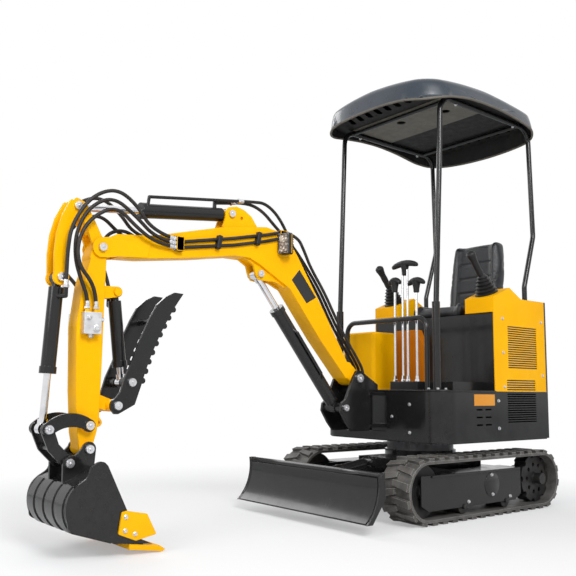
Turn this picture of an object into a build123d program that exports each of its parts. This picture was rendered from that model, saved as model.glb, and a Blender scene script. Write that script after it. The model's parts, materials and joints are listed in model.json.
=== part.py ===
"""One-tonne class mini excavator with canopy, swing boom, hydraulic thumb and dozer blade.

Millimetres. X runs forward to the bucket, Y to the operator's left, Z up from the ground.
Lengths along X are given from the slew axis, which stands at SLEW_X in the part's frame, so
that the origin lies under the middle of the machine.
"""

import os
from math import cos, hypot, pi, radians, sin, tan

from build123d import *

os.makedirs("parts", exist_ok=True)

# General plate, pin and running clearances
SLEW_X = -750.0
SEAT_GAP = 0.3
PIN_GAP = 0.5
SIDE_GAP = 3.0
HEAD_LENGTH = 12.0
PANEL = 5.0

# Tracks and their wheels
WHEELBASE = 927.0
TRACK_RADIUS = 151.5
LUG_HEIGHT = 14.0
BELT_THICKNESS = 13.0
TRACK_WIDTH = 180.0
TRACK_HALF_SPAN = 458.0
LUG_COUNT = 38
LUG_LENGTH = 34.0
LUG_SWEEP = 22.0
WHEEL_CLEARANCE = 0.3
WHEEL_WIDTH = 70.0
WHEEL_RIM = 16.0
HUB_RADIUS = 34.0
SPROCKET_TEETH = 9
FORK_GAP = 7.0
FORK_HEIGHT = 60.0
HUB_REACH = 82.0
ROLLER_RADIUS = 34.0
ROLLER_AXLE = 11.0
ROLLER_X = (-157.0, 183.0)

# Track side frames and centre frame
SIDE_FRAME_FRONT = 493.0
SIDE_FRAME_REAR = -286.0
SIDE_FRAME_BOTTOM = 60.0
SIDE_FRAME_TOP = 222.0
SIDE_FRAME_CHAMFER = (50.0, 27.0)
SIDE_FRAME_WIDTH = 130.0
SIDE_FRAME_WALL = 8.0
SIDE_FRAME_COVER_FRONT = 330.0
SIDE_FRAME_FLOOR = 144.0
FORK_OVERLAP = 40.0
CENTRE_HALF_WIDTH = 190.0
CENTRE_LENGTH = 560.0
CENTRE_BOTTOM = 140.0
CENTRE_TOP = 262.0
BEAM_LENGTH = 110.0
RING_RADIUS = 190.0
RING_BORE = 140.0
RING_TOP = 356.0
PEDESTAL_HEIGHT = 38.0
BEAM_X = 185.0
FRAME_PLATE = 8.0
HINGE_LUG = 25.0
BLADE_LUG_PLATE = 12.0

# Dozer blade
BLADE_PIVOT = (400.0, 165.0)
BLADE_TOP = (802.0, 253.0)
BLADE_MID = (806.0, 150.0)
BLADE_FOOT = (877.0, 48.0)
BLADE_HALF_WIDTH = 472.0
BLADE_SHEET = 8.0
BLADE_END_PLATE = 10.0
BLADE_TUBE_RADIUS = 13.0
BLADE_ARM_Y = 160.0
BLADE_ARM_WIDTH = 30.0
BLADE_CYL_BASE = (400.0, 247.0)
BLADE_CYL_PIN = (762.0, 196.0)

# Upper structure
DECK_TOP = 612.0
SKIRT_BOTTOM = 361.0
BODY_FRONT = 330.0
BODY_REAR = -565.0
BODY_HALF_WIDTH = 427.0
CORNER_RADIUS = 104.0
BASE_PLATE = 12.0
HOOD_FRONT = -97.0
HOOD_TOP = 1110.0
SEAT_BASE_TOP = 1020.0
CONSOLE_INNER_Y = 245.0
CONSOLE_BOTTOM = 1025.0
CONSOLE_FRONT_TOP = 1104.0
CONSOLE_PEAK = (-243.0, 1164.0)
CONSOLE_BACK = (-346.0, 1110.0)
REAR_COVER_DEPTH = 14.0
GRILLE_SLOT = 6.5
GRILLE_PITCH = 12.0
GRILLE_UPPER = (-485.0, -216.0, 732.0, 970.0)
GRILLE_LOWER = (-463.0, -200.0, 448.0, 681.0)
LOUVRE_LENGTH = 52.0
LOUVRE_HEIGHT = 8.0
LOUVRE_X = (-34.0, 40.0)
LOUVRE_Z = (520.0, 482.0, 444.0)
MAT_TOP = 660.0
MAT_FRONT = 150.0
MAT_LEFT = 350.0
MAT_RIGHT = -20.0

# Engine, as one block on the frame's rails
ENGINE_X = -350.0
ENGINE_BOTTOM = DECK_TOP - 20.0 + SEAT_GAP
ENGINE_LENGTH = 300.0
ENGINE_WIDTH = 380.0
ENGINE_HEIGHT = 320.0

# Front covers beside the operator's feet
TANK_FRONT = 205.0
TANK_REAR = 18.0
TANK_RIGHT = -400.0
TANK_LEFT = -150.0
TANK_TOP = 935.0
SHIN_COVER_DEPTH = 42.0
SHIN_COVER_RIGHT = -230.0
SHIN_COVER_TOP = 955.0

# Canopy
POST_X = 270.0
POST_Y = 349.0
SOCKET_TOP = 1054.0
SOCKET_RADIUS = 20.0
TUBE_RADIUS = 14.0
HOOP_Z = 2136.0
HOOP_FRONT = (224.0, HOOP_Z)
HOOP_REAR = (-568.0, HOOP_Z)
HOOP_Y = 358.0
HOOP_CORNER = 85.0
CROSSBAR_X = (150.0, -470.0)
REAR_POST_KNEE = (-590.0, 1500.0)
REAR_POST_FOOT = (-488.0, 1200.0)
ROOF_FRONT = 425.0
ROOF_REAR = -625.0
ROOF_HALF_WIDTH = 458.0
ROOF_CORNER = 150.0
ROOF_SHEET = 6.0
ROOF_LOW = 2050.0
ROOF_TOP = 2240.0
ROOF_TAPER = 12.0
ROOF_EDGE_ROUND = 60.0
ROOF_REAR_ARCH = (-560.0, 2090.0)
ROOF_SIDE_ARCH = (-60.0, 2142.0)
ROOF_FRONT_ARCH = (425.0, 2080.0)
ROOF_FRONT_MIDDLE = 2108.0
ROOF_PANEL_INSET = 120.0
ROOF_PANEL_RISE = 12.0
LINER_SHEET = 4.0
LINER_SLOTS = 8
LINER_SLOT_PITCH = 75.0
LINER_SLOT_X = (285.0, -520.0)
LINER_HOLES = ((9.0, 219.0), (60.0, -60.0))
RAIL_TOP = 981.0
RAIL_Y = 288.0
RAIL_RADIUS = 13.0

# Seat
SEAT_HALF_WIDTH = 195.0
SEAT_FRONT = -128.0
SEAT_BACK_X = -520.0
SEAT_CUSHION_TOP = 1088.0
SEAT_BACK_TOP = 1518.0
SEAT_BACK_THICKNESS = 95.0
SEAT_RECLINE = 60.0

# Hinge points of the digging gear, as (x, z)
SWING_PIN_X = 420.0
BOOM_FOOT = (536.0, 671.0)
BOOM_CYL_BASE = (630.0, 525.0)
BOOM_CYL_PIN = (1131.0, 1140.0)
BOOM_ROD_LIMIT = (1114.0, 1168.0)
BOOM_NECK_LIMIT = (1084.0, 1134.0)
ROD_EYE_ROOM = 32.0
ARM_CYL_BASE = (1298.0, 1396.0)
LIFT_HOLE = (1241.0, 1384.0)
ARM_PIVOT = (1920.0, 1161.0)
ARM_CYL_PIN = (2022.0, 1313.0)
BUCKET_CYL_BASE = (2077.0, 1028.0)
LINK_PIN = (2107.0, 459.0)
ROCKER_PIVOT = (1950.0, 470.0)
BUCKET_PIVOT = (1948.0, 383.0)
BUCKET_LINK_PIN = (2023.0, 335.0)
THUMB_PIVOT = (1850.0, 544.0)
THUMB_CYL_PIN = (1794.0, 634.0)
THUMB_CYL_BASE = (1840.0, 992.0)
STAY_HOLE = (1892.0, 478.0)
STAY_BORE = 17.0
LIFT_BORE = 16.0

# Pipes, hoses and what carries them, as (x, y, z)
HOSE_DIAMETER = 15.0
HOSE_BEND_SHARE = 0.45
PIPE_RADIUS = 7.0
FITTING_RADIUS = 9.0
CLAMP = (1562.0, 1597.0, 1186.0, 1248.0)
CLAMP_DEPTH = 25.0
JUNCTION = (1000.0, 1042.0, 1296.0, 1352.0)
BOOM_PIPES = (
    ((1564.0, 1229.0), (1294.0, 1281.0), (1120.0, 1320.0), (1040.0, 1340.0)),
    ((1564.0, 1205.0), (1294.0, 1250.0), (1120.0, 1290.0), (1040.0, 1312.0)),
)
VALVE_BLOCK = (1922.0, 1992.0, 816.0, 900.0)
VALVE_DEPTH = 36.0
VALVE_STUBS = (1940.0, 1975.0)
STUB_TOP = 912.0
STUB_Y = 58.0
LAMP = (998.0, 1030.0, 1244.0, 1334.0)
LAMP_INNER_Y = 58.0
LAMP_WIDTH = 44.0
HOSE_PLATE_TOP = 634.0
HOSE_PLATE_X = 456.0
BUNDLE_Y = (-26.0, 0.0, 26.0)
BUNDLE = (
    (820.0, 1205.0),
    (726.0, 1088.0),
    (647.0, 960.0),
    (563.0, 845.0),
    (500.0, 768.0),
    (HOSE_PLATE_X + 1.0, 706.0),
    (HOSE_PLATE_X, 654.0),
)
BUCKET_HOSE = (
    (1599.0, 60.0, 1236.0),
    (1715.0, 74.0, 1250.0),
    (1795.0, 80.0, 1350.0),
    (1888.0, 80.0, 1400.0),
    (1993.0, 80.0, 1345.0),
    (2062.0, 80.0, 1225.0),
    (2071.0, 76.0, 1130.0),
    (2066.0, 62.0, 1055.0),
    (2066.0, 62.0, 986.0),
)
VALVE_HOSE = (
    (1598.0, 60.0, 1200.0),
    (1690.0, 72.0, 1203.0),
    (1785.0, 80.0, 1250.0),
    (1882.0, 80.0, 1330.0),
    (1990.0, 80.0, 1262.0),
    (2036.0, 80.0, 1165.0),
    (2028.0, 80.0, 1075.0),
    (1966.0, 70.0, 1016.0),
    (VALVE_STUBS[0], STUB_Y, 952.0),
    (VALVE_STUBS[0], STUB_Y, STUB_TOP + SEAT_GAP),
)
RETURN_HOSE = (
    (1598.0, 60.0, 1218.0),
    (1692.0, 60.0, 1226.0),
    (1785.0, 60.0, 1305.0),
    (1885.0, 60.0, 1368.0),
    (1980.0, 60.0, 1318.0),
    (2034.0, 60.0, 1215.0),
    (2036.0, 60.0, 1105.0),
    (2004.0, 60.0, 1015.0),
    (VALVE_STUBS[1], STUB_Y, 956.0),
    (VALVE_STUBS[1], STUB_Y, STUB_TOP + SEAT_GAP),
)
THUMB_HOSE = (
    (1598.0, -60.0, 1218.0),
    (1690.0, -66.0, 1226.0),
    (1770.0, -72.0, 1275.0),
    (1856.0, -72.0, 1240.0),
    (1876.0, -66.0, 1140.0),
    (1850.0, -60.0, 1070.0),
    (1835.0, -54.0, 1012.0),
    (1835.0, -54.0, 974.0),
)
ARM_HOSES = (
    (
        (1262.0, 30.0, 1461.0),
        (1180.0, 30.0, 1471.5),
        (1085.0, 10.0, 1484.0),
        (985.0, -8.0, 1430.0),
        (900.0, -20.0, 1312.0),
    ),
    (
        (1290.0, 6.0, 1453.0),
        (1200.0, 4.0, 1470.0),
        (1104.0, 2.0, 1450.0),
        (1015.0, 0.0, 1378.0),
        (912.0, 2.0, 1302.0),
    ),
)
SIDE_HOSE = ((999.0, 58.0, 1345.0), (930.0, 58.0, 1339.0), (872.0, 42.0, 1275.0))

# Widths of the digging gear
PIN_RADIUS = 12.0
PIN_HEAD_RADIUS = 17.0
BOSS_RADIUS = 28.0
BRACKET_PLATE_Y = 61.0
BRACKET_PLATE = 14.0
BOOM_HALF_WIDTH = 47.0
BOOM_WALL = 7.0
BOOM_FORK_PLATE = 8.0
ARM_HALF_WIDTH = 40.0
ARM_WALL = 6.0
EYE_HALF_WIDTH = 19.0
LUG_PLATE = 12.0
LINK_PLATE_Y = 45.0
LINK_PLATE = 10.0
ROCKER_PLATE_Y = 58.0
ROCKER_PLATE = 10.0
EAR_PLATE_Y = 58.0
EAR_PLATE = 12.0
THUMB_PLATE_Y = 80.0
THUMB_PLATE = 12.0
BUCKET_HALF_WIDTH = 190.0
BUCKET_SHEET = 7.0


def side(y):
    """The plane seen from the left side: x forward, z up, at width y."""
    return Plane(origin=(SLEW_X, y, 0), x_dir=(1, 0, 0), z_dir=(0, -1, 0))


def level(z):
    """A level plane at height z, its origin on the slew axis."""
    return Plane(origin=(SLEW_X, 0, z))


def facing(x):
    """The plane seen from the front: y to the left, z up, at length x."""
    return Plane(origin=(SLEW_X + x, 0, 0), x_dir=(0, 1, 0), z_dir=(1, 0, 0))


def at(x, y, z):
    """A point given from the slew axis."""
    return (SLEW_X + x, y, z)


def plate(points, left, thick, radius=0.0, mode=Mode.ADD):
    """A plate cut to a side outline. left is its left face; radius rounds its corners."""
    with BuildSketch(side(left)) as outline:
        with BuildLine():
            if radius:
                FilletPolyline(*points, radius=radius, close=True)
            else:
                Polyline(*points, close=True)
        make_face()
    extrude(outline.sketch, amount=thick, mode=mode)


def strap(discs, left, thick, mode=Mode.ADD):
    """A plate that wraps round discs, each given as (point, radius)."""
    with BuildSketch(side(left)) as outline:
        for centre, radius in discs:
            with Locations(centre):
                Circle(radius)
        make_hull()
    extrude(outline.sketch, amount=thick, mode=mode)


def cross_pin(centre, radius, half_length, mode=Mode.ADD):
    """A round bar along Y, the same length to both sides."""
    with BuildSketch(side(0)) as outline:
        with Locations(centre):
            Circle(radius)
    extrude(outline.sketch, amount=half_length, both=True, mode=mode)


def pin_heads(centre, inner, length=HEAD_LENGTH, radius=PIN_HEAD_RADIUS):
    """The two pin heads outside a pair of plates whose outer faces are at inner."""
    for left in (inner + length, -inner):
        with BuildSketch(side(left)) as outline:
            with Locations(centre):
                Circle(radius)
        extrude(outline.sketch, amount=length)


def both_sides(inner, thick):
    """The left faces of a pair of plates that stand inner to inner + thick off the middle."""
    return (inner + thick, -inner)


def along(start, end, distance):
    """The point at a distance from start towards end."""
    length = hypot(end[0] - start[0], end[1] - start[1])
    share = distance / length
    return (start[0] + (end[0] - start[0]) * share, start[1] + (end[1] - start[1]) * share)


def axis_plane(start, end, distance=0.0, y=0.0):
    """A plane square to the line from start to end, with its origin on that line."""
    spot = along(start, end, distance)
    way = (end[0] - start[0], 0, end[1] - start[1])
    return Plane(origin=at(spot[0], y, spot[1]), x_dir=(0, 1, 0), z_dir=way)


def rod_between(start, end, begin, finish, radius, mode=Mode.ADD):
    """A round bar on the line from start to end, between two distances from start."""
    with BuildSketch(axis_plane(start, end, begin)) as outline:
        Circle(radius)
    extrude(outline.sketch, amount=finish - begin, mode=mode)


def bar(start, end, radius):
    """A round bar between two points given from the slew axis."""
    foot = Vector(*at(*start))
    reach = Vector(*at(*end)) - foot
    with BuildSketch(Plane(origin=foot, z_dir=reach)) as outline:
        Circle(radius)
    extrude(outline.sketch, amount=reach.length)


def pipe(points, radius):
    """A steel pipe: straight bars with a ball at each bend."""
    for start, end in zip(points, points[1:]):
        bar(start, end, radius)
    for bend in points[1:-1]:
        with Locations(at(*bend)):
            Sphere(radius)


def block(spans, inner, depth, hand):
    """A block on one side: spans gives its x and z limits, inner its near face."""
    rear, front, bottom, top = spans
    with Locations(at((rear + front) / 2, hand * (inner + depth / 2), (bottom + top) / 2)):
        Box(front - rear, depth, top - bottom)


def eye(centre, outer, half_width, mode=Mode.ADD):
    """The round eye at a cylinder's end."""
    cross_pin(centre, outer, half_width, mode)


# Undercarriage


def track_plane(distance, width_at):
    """The plane on the belt's outer face at a distance round the loop, normal outwards."""
    radius = TRACK_RADIUS - LUG_HEIGHT
    half = WHEELBASE / 2
    arc = pi * radius
    distance = distance % (2 * WHEELBASE + 2 * arc)
    if distance < WHEELBASE:
        spot, turn = (half - distance, radius), 0.0
    elif distance < WHEELBASE + arc:
        turn = (distance - WHEELBASE) / radius
        spot = (-half - radius * sin(turn), radius * cos(turn))
    elif distance < 2 * WHEELBASE + arc:
        spot, turn = (-half + distance - WHEELBASE - arc, -radius), pi
    else:
        turn = pi + (distance - 2 * WHEELBASE - arc) / radius
        spot = (half - radius * sin(turn), radius * cos(turn))
    normal = (-sin(turn), 0, cos(turn))
    travel = (-cos(turn), 0, -sin(turn))
    return Plane(origin=at(spot[0], width_at, spot[1] + TRACK_RADIUS), x_dir=travel, z_dir=normal)


TRACK_MIDDLE_Y = TRACK_HALF_SPAN - TRACK_WIDTH / 2
BELT_OUTER = TRACK_RADIUS - LUG_HEIGHT
BELT_INNER = BELT_OUTER - BELT_THICKNESS
LOOP_LENGTH = 2 * WHEELBASE + 2 * pi * BELT_OUTER
LUG_PITCH = LOOP_LENGTH / LUG_COUNT
LUG_SINK = 2.0

with BuildPart() as track_left:
    with BuildSketch(side(TRACK_MIDDLE_Y)) as belt:
        with Locations((0, TRACK_RADIUS)):
            SlotCenterToCenter(WHEELBASE, 2 * BELT_OUTER)
            SlotCenterToCenter(WHEELBASE, 2 * BELT_INNER, mode=Mode.SUBTRACT)
    extrude(belt.sketch, amount=TRACK_WIDTH / 2, both=True)
    for row, stagger in ((1, 0.0), (-1, 0.5)):
        spots = [(lug + stagger) * LUG_PITCH for lug in range(LUG_COUNT)]
        planes = [track_plane(spot, TRACK_MIDDLE_Y).offset(-LUG_SINK) for spot in spots]
        inner_y = -8.0 * row
        outer_y = row * (TRACK_WIDTH / 2 - 4.0)
        with BuildSketch(*planes) as tread:
            with BuildLine():
                Polyline(
                    (LUG_SWEEP / 2 - LUG_LENGTH / 2, inner_y),
                    (LUG_SWEEP / 2 + LUG_LENGTH / 2 - 8.0, inner_y),
                    (-LUG_SWEEP / 2 + LUG_LENGTH / 2, outer_y),
                    (-LUG_SWEEP / 2 - LUG_LENGTH / 2, outer_y),
                    close=True,
                )
            make_face()
        extrude(tread.sketch, amount=LUG_HEIGHT + LUG_SINK)
    split(bisect_by=Plane.XY, keep=Keep.TOP)
track_left.part.label = "track_left"
export_step(track_left.part, "parts/track_left.step")

with BuildPart() as track_right:
    add(mirror(track_left.part, about=Plane.XZ))
track_right.part.label = "track_right"
export_step(track_right.part, "parts/track_right.step")

WHEEL_RADIUS = BELT_INNER - WHEEL_CLEARANCE
IDLER_HUB_HALF = SIDE_FRAME_WIDTH / 2 - SIDE_FRAME_WALL - SEAT_GAP
SPROCKET_HUB_HALF = WHEEL_WIDTH / 2 + FORK_GAP - SEAT_GAP
WHEELS = (
    ("idlers", WHEELBASE / 2, 0, IDLER_HUB_HALF),
    ("sprockets", -WHEELBASE / 2, SPROCKET_TEETH, SPROCKET_HUB_HALF),
)
for name, wheel_x, holes, hub_half in WHEELS:
    with BuildPart() as wheels:
        for hand in (1, -1):
            centre = (wheel_x, TRACK_RADIUS)
            with BuildSketch(side(hand * TRACK_MIDDLE_Y)) as disc:
                with Locations(centre):
                    Circle(WHEEL_RADIUS)
                    if holes:
                        with PolarLocations(WHEEL_RADIUS, holes):
                            Circle(WHEEL_RIM, mode=Mode.SUBTRACT)
                        with PolarLocations(WHEEL_RADIUS * 0.58, holes):
                            Circle(WHEEL_RIM * 0.7, mode=Mode.SUBTRACT)
            extrude(disc.sketch, amount=WHEEL_WIDTH / 2, both=True)
            with BuildSketch(side(hand * TRACK_MIDDLE_Y)) as hub:
                with Locations(centre):
                    Circle(HUB_RADIUS)
            extrude(hub.sketch, amount=hub_half, both=True)
            if holes:
                with BuildSketch(side(hand * (TRACK_MIDDLE_Y + HUB_REACH / 2))) as motor_hub:
                    with Locations(centre):
                        Circle(HUB_RADIUS * 0.85)
                extrude(motor_hub.sketch, amount=HUB_REACH / 2, both=True)
    wheels.part.label = name
    export_step(wheels.part, f"parts/{name}.step")

ROLLER_Z = TRACK_RADIUS - BELT_INNER + ROLLER_RADIUS + WHEEL_CLEARANCE
with BuildPart() as rollers:
    for hand in (1, -1):
        for roller_x in ROLLER_X:
            centre = (roller_x, ROLLER_Z)
            with BuildSketch(side(hand * TRACK_MIDDLE_Y)) as roller:
                with Locations(centre):
                    Circle(ROLLER_RADIUS)
            extrude(roller.sketch, amount=SIDE_FRAME_WIDTH / 2 - SIDE_FRAME_WALL - 1.0, both=True)
            with BuildSketch(side(hand * TRACK_MIDDLE_Y)) as axle:
                with Locations(centre):
                    Circle(ROLLER_AXLE)
            extrude(axle.sketch, amount=SIDE_FRAME_WIDTH / 2 + 6.0, both=True)
rollers.part.label = "rollers"
export_step(rollers.part, "parts/rollers.step")

FRAME_INNER_Y = TRACK_MIDDLE_Y - SIDE_FRAME_WIDTH / 2
FORK_THICK = SIDE_FRAME_WIDTH / 2 - WHEEL_WIDTH / 2 - FORK_GAP
SIDE_FRAME_OUTLINE = [
    (SIDE_FRAME_REAR, SIDE_FRAME_BOTTOM + SIDE_FRAME_CHAMFER[1]),
    (SIDE_FRAME_REAR + SIDE_FRAME_CHAMFER[0], SIDE_FRAME_BOTTOM),
    (SIDE_FRAME_FRONT - SIDE_FRAME_CHAMFER[0], SIDE_FRAME_BOTTOM),
    (SIDE_FRAME_FRONT, SIDE_FRAME_BOTTOM + SIDE_FRAME_CHAMFER[1]),
    (SIDE_FRAME_FRONT, SIDE_FRAME_TOP),
    (SIDE_FRAME_REAR, SIDE_FRAME_TOP),
]
for hand, word in ((1, "left"), (-1, "right")):
    with BuildPart() as side_frame:
        middle = hand * TRACK_MIDDLE_Y
        for left in (middle + SIDE_FRAME_WIDTH / 2, middle - SIDE_FRAME_WIDTH / 2 + SIDE_FRAME_WALL):
            plate(SIDE_FRAME_OUTLINE, left, SIDE_FRAME_WALL)
        cover_length = SIDE_FRAME_COVER_FRONT - SIDE_FRAME_REAR
        cover_middle = (SIDE_FRAME_COVER_FRONT + SIDE_FRAME_REAR) / 2
        for bottom in (SIDE_FRAME_TOP - SIDE_FRAME_WALL, SIDE_FRAME_FLOOR):
            with Locations(at(cover_middle, middle, bottom + SIDE_FRAME_WALL / 2)):
                Box(cover_length, SIDE_FRAME_WIDTH - 2.0, SIDE_FRAME_WALL)
        fork_front = SIDE_FRAME_REAR + FORK_OVERLAP
        fork_rear = -WHEELBASE / 2 - SIDE_FRAME_WALL
        fork_y = middle - hand * (SIDE_FRAME_WIDTH - FORK_THICK) / 2
        with Locations(at((fork_front + fork_rear) / 2, fork_y, TRACK_RADIUS)):
            Box(fork_front - fork_rear, FORK_THICK, FORK_HEIGHT)
        for roller_x in ROLLER_X:
            with BuildSketch(side(middle)) as axle_hole:
                with Locations((roller_x, ROLLER_Z)):
                    Circle(ROLLER_AXLE + SEAT_GAP)
            extrude(axle_hole.sketch, amount=SIDE_FRAME_WIDTH / 2 + 1.0, both=True, mode=Mode.SUBTRACT)
    side_frame.part.label = f"side_frame_{word}"
    export_step(side_frame.part, f"parts/side_frame_{word}.step")

with BuildPart() as centre_frame:
    centre_height = CENTRE_TOP - CENTRE_BOTTOM
    beam_height = SIDE_FRAME_TOP - CENTRE_BOTTOM
    beam_half = FRAME_INNER_Y - SEAT_GAP
    with Locations(at(0, 0, (CENTRE_BOTTOM + CENTRE_TOP) / 2)):
        Box(CENTRE_LENGTH, 2 * CENTRE_HALF_WIDTH, centre_height)
    for beam_x in (-BEAM_X, BEAM_X):
        with Locations(at(beam_x, 0, (CENTRE_BOTTOM + SIDE_FRAME_TOP) / 2)):
            Box(BEAM_LENGTH, 2 * beam_half, beam_height)
    for beam_x in (-BEAM_X, BEAM_X):
        with Locations(at(beam_x, 0, (CENTRE_BOTTOM + SIDE_FRAME_TOP) / 2)):
            Box(
                BEAM_LENGTH - 2 * FRAME_PLATE,
                2 * (beam_half - FRAME_PLATE),
                beam_height - 2 * FRAME_PLATE,
                mode=Mode.SUBTRACT,
            )
    with Locations(at(0, 0, (CENTRE_BOTTOM + CENTRE_TOP) / 2)):
        Box(
            CENTRE_LENGTH - 2 * FRAME_PLATE,
            2 * (CENTRE_HALF_WIDTH - FRAME_PLATE),
            centre_height - 2 * FRAME_PLATE,
            mode=Mode.SUBTRACT,
        )
    with BuildSketch(level(CENTRE_TOP)) as pedestal:
        Circle(RING_RADIUS)
        Circle(RING_BORE, mode=Mode.SUBTRACT)
    extrude(pedestal.sketch, amount=PEDESTAL_HEIGHT)
    lug_root = CENTRE_LENGTH / 2 - 6.0
    lug_inner = BLADE_ARM_Y - BLADE_ARM_WIDTH / 2 - SIDE_GAP - BLADE_LUG_PLATE
    head_inner = BLADE_ARM_Y + BLADE_ARM_WIDTH / 2 + SEAT_GAP
    for left in both_sides(lug_inner, BLADE_LUG_PLATE):
        strap([((lug_root, BLADE_PIVOT[1]), HINGE_LUG), (BLADE_PIVOT, HINGE_LUG)], left, BLADE_LUG_PLATE)
    pin_heads(BLADE_PIVOT, head_inner)
    for hand in (1, -1):
        with BuildSketch(side(hand * (lug_inner + head_inner) / 2)) as hinge_pin:
            with Locations(BLADE_PIVOT):
                Circle(PIN_RADIUS)
        extrude(hinge_pin.sketch, amount=(head_inner - lug_inner) / 2, both=True)
    for left in both_sides(EYE_HALF_WIDTH + SIDE_GAP, LUG_PLATE):
        strap([((lug_root, CENTRE_TOP - 30.0), HINGE_LUG), (BLADE_CYL_BASE, 22.0)], left, LUG_PLATE)
    cross_pin(BLADE_CYL_BASE, PIN_RADIUS, EYE_HALF_WIDTH + SIDE_GAP + 1.0)
    pin_heads(BLADE_CYL_BASE, EYE_HALF_WIDTH + SIDE_GAP + LUG_PLATE, 8.0)
centre_frame.part.label = "centre_frame"
export_step(centre_frame.part, "parts/centre_frame.step")

with BuildPart() as slew_ring:
    with BuildSketch(level(CENTRE_TOP + PEDESTAL_HEIGHT)) as ring:
        Circle(RING_RADIUS - 12.0)
        Circle(RING_BORE, mode=Mode.SUBTRACT)
    extrude(ring.sketch, amount=RING_TOP - CENTRE_TOP - PEDESTAL_HEIGHT)
slew_ring.part.label = "slew_ring"
export_step(slew_ring.part, "parts/slew_ring.step")

# Dozer blade and its cylinder

with BuildPart() as blade:
    back_top = (BLADE_TOP[0] - BLADE_SHEET, BLADE_TOP[1])
    back_mid = (BLADE_MID[0] - BLADE_SHEET, BLADE_MID[1])
    back_foot = (BLADE_FOOT[0] - BLADE_SHEET - 3.0, BLADE_FOOT[1])
    with BuildSketch(side(BLADE_HALF_WIDTH)) as mouldboard:
        with BuildLine():
            ThreePointArc(BLADE_TOP, BLADE_MID, BLADE_FOOT)
            Line(BLADE_FOOT, back_foot)
            ThreePointArc(back_foot, back_mid, back_top)
            Line(back_top, BLADE_TOP)
        make_face()
    extrude(mouldboard.sketch, amount=2 * BLADE_HALF_WIDTH)
    for left in (BLADE_HALF_WIDTH, -BLADE_HALF_WIDTH + BLADE_END_PLATE):
        with BuildSketch(side(left)) as cheek:
            with BuildLine():
                ThreePointArc(
                    (BLADE_TOP[0] + 5.0, BLADE_TOP[1] + 6.0),
                    (BLADE_MID[0] + 7.0, BLADE_MID[1]),
                    (BLADE_FOOT[0] + 4.0, BLADE_FOOT[1]),
                )
                Polyline(
                    (BLADE_FOOT[0] + 4.0, BLADE_FOOT[1]),
                    (BLADE_FOOT[0] - 30.0, BLADE_FOOT[1]),
                    (BLADE_MID[0] - 38.0, BLADE_MID[1]),
                    (BLADE_TOP[0] - 30.0, BLADE_TOP[1] + 6.0),
                    (BLADE_TOP[0] + 5.0, BLADE_TOP[1] + 6.0),
                )
            make_face()
        extrude(cheek.sketch, amount=BLADE_END_PLATE)
    cross_pin((BLADE_TOP[0] - BLADE_TUBE_RADIUS, BLADE_TOP[1] - 6.0), BLADE_TUBE_RADIUS, BLADE_HALF_WIDTH)
    for hand in (1, -1):
        left = hand * BLADE_ARM_Y + BLADE_ARM_WIDTH / 2
        strap([(BLADE_PIVOT, 26.0), ((BLADE_MID[0] - 22.0, 140.0), 32.0)], left, BLADE_ARM_WIDTH)
        with BuildSketch(side(left + 1.0)) as bore:
            with Locations(BLADE_PIVOT):
                Circle(PIN_RADIUS + PIN_GAP)
        extrude(bore.sketch, amount=BLADE_ARM_WIDTH + 2.0, mode=Mode.SUBTRACT)
    with Locations(at(BLADE_MID[0] - 26.0, 0, 122.0)):
        Box(36.0, 2 * BLADE_ARM_Y + 200.0, 40.0)
    for left in both_sides(EYE_HALF_WIDTH + SIDE_GAP, LUG_PLATE):
        strap([(BLADE_CYL_PIN, 20.0), ((BLADE_MID[0] - 12.0, 196.0), 20.0)], left, LUG_PLATE)
        strap([((BLADE_MID[0] - 20.0, 186.0), 10.0), ((BLADE_MID[0] - 24.0, 132.0), 18.0)], left, LUG_PLATE)
    pin_heads(BLADE_CYL_PIN, EYE_HALF_WIDTH + SIDE_GAP + LUG_PLATE, 8.0)
blade.part.label = "blade"
export_step(blade.part, "parts/blade.step")

HALF_EYE = EYE_HALF_WIDTH


def barrel(base, pin, base_radius, tube_radius, rod_radius, length):
    """A cylinder's barrel: base eye, tube with a bored front, and head collar."""
    eye(base, base_radius, HALF_EYE)
    rod_between(base, pin, base_radius * 0.7, base_radius + 14.0, HALF_EYE - 2.0)
    rod_between(base, pin, base_radius + 12.0, length, tube_radius)
    rod_between(base, pin, length - 26.0, length, tube_radius + 4.0)
    rod_between(base, pin, 60.0, length + 1.0, rod_radius + PIN_GAP, Mode.SUBTRACT)
    eye(base, PIN_RADIUS + PIN_GAP, HALF_EYE + 1.0, Mode.SUBTRACT)


def rod(base, pin, eye_radius, rod_radius, barrel_length, tuck):
    """A cylinder's rod with its eye and the stub of pin that the eye carries."""
    reach = hypot(pin[0] - base[0], pin[1] - base[1])
    rod_between(base, pin, barrel_length - tuck, reach - eye_radius * 0.6, rod_radius)
    rod_between(base, pin, reach - eye_radius - 14.0, reach - eye_radius * 0.6, rod_radius + 5.0)
    eye(pin, eye_radius, HALF_EYE)


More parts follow.
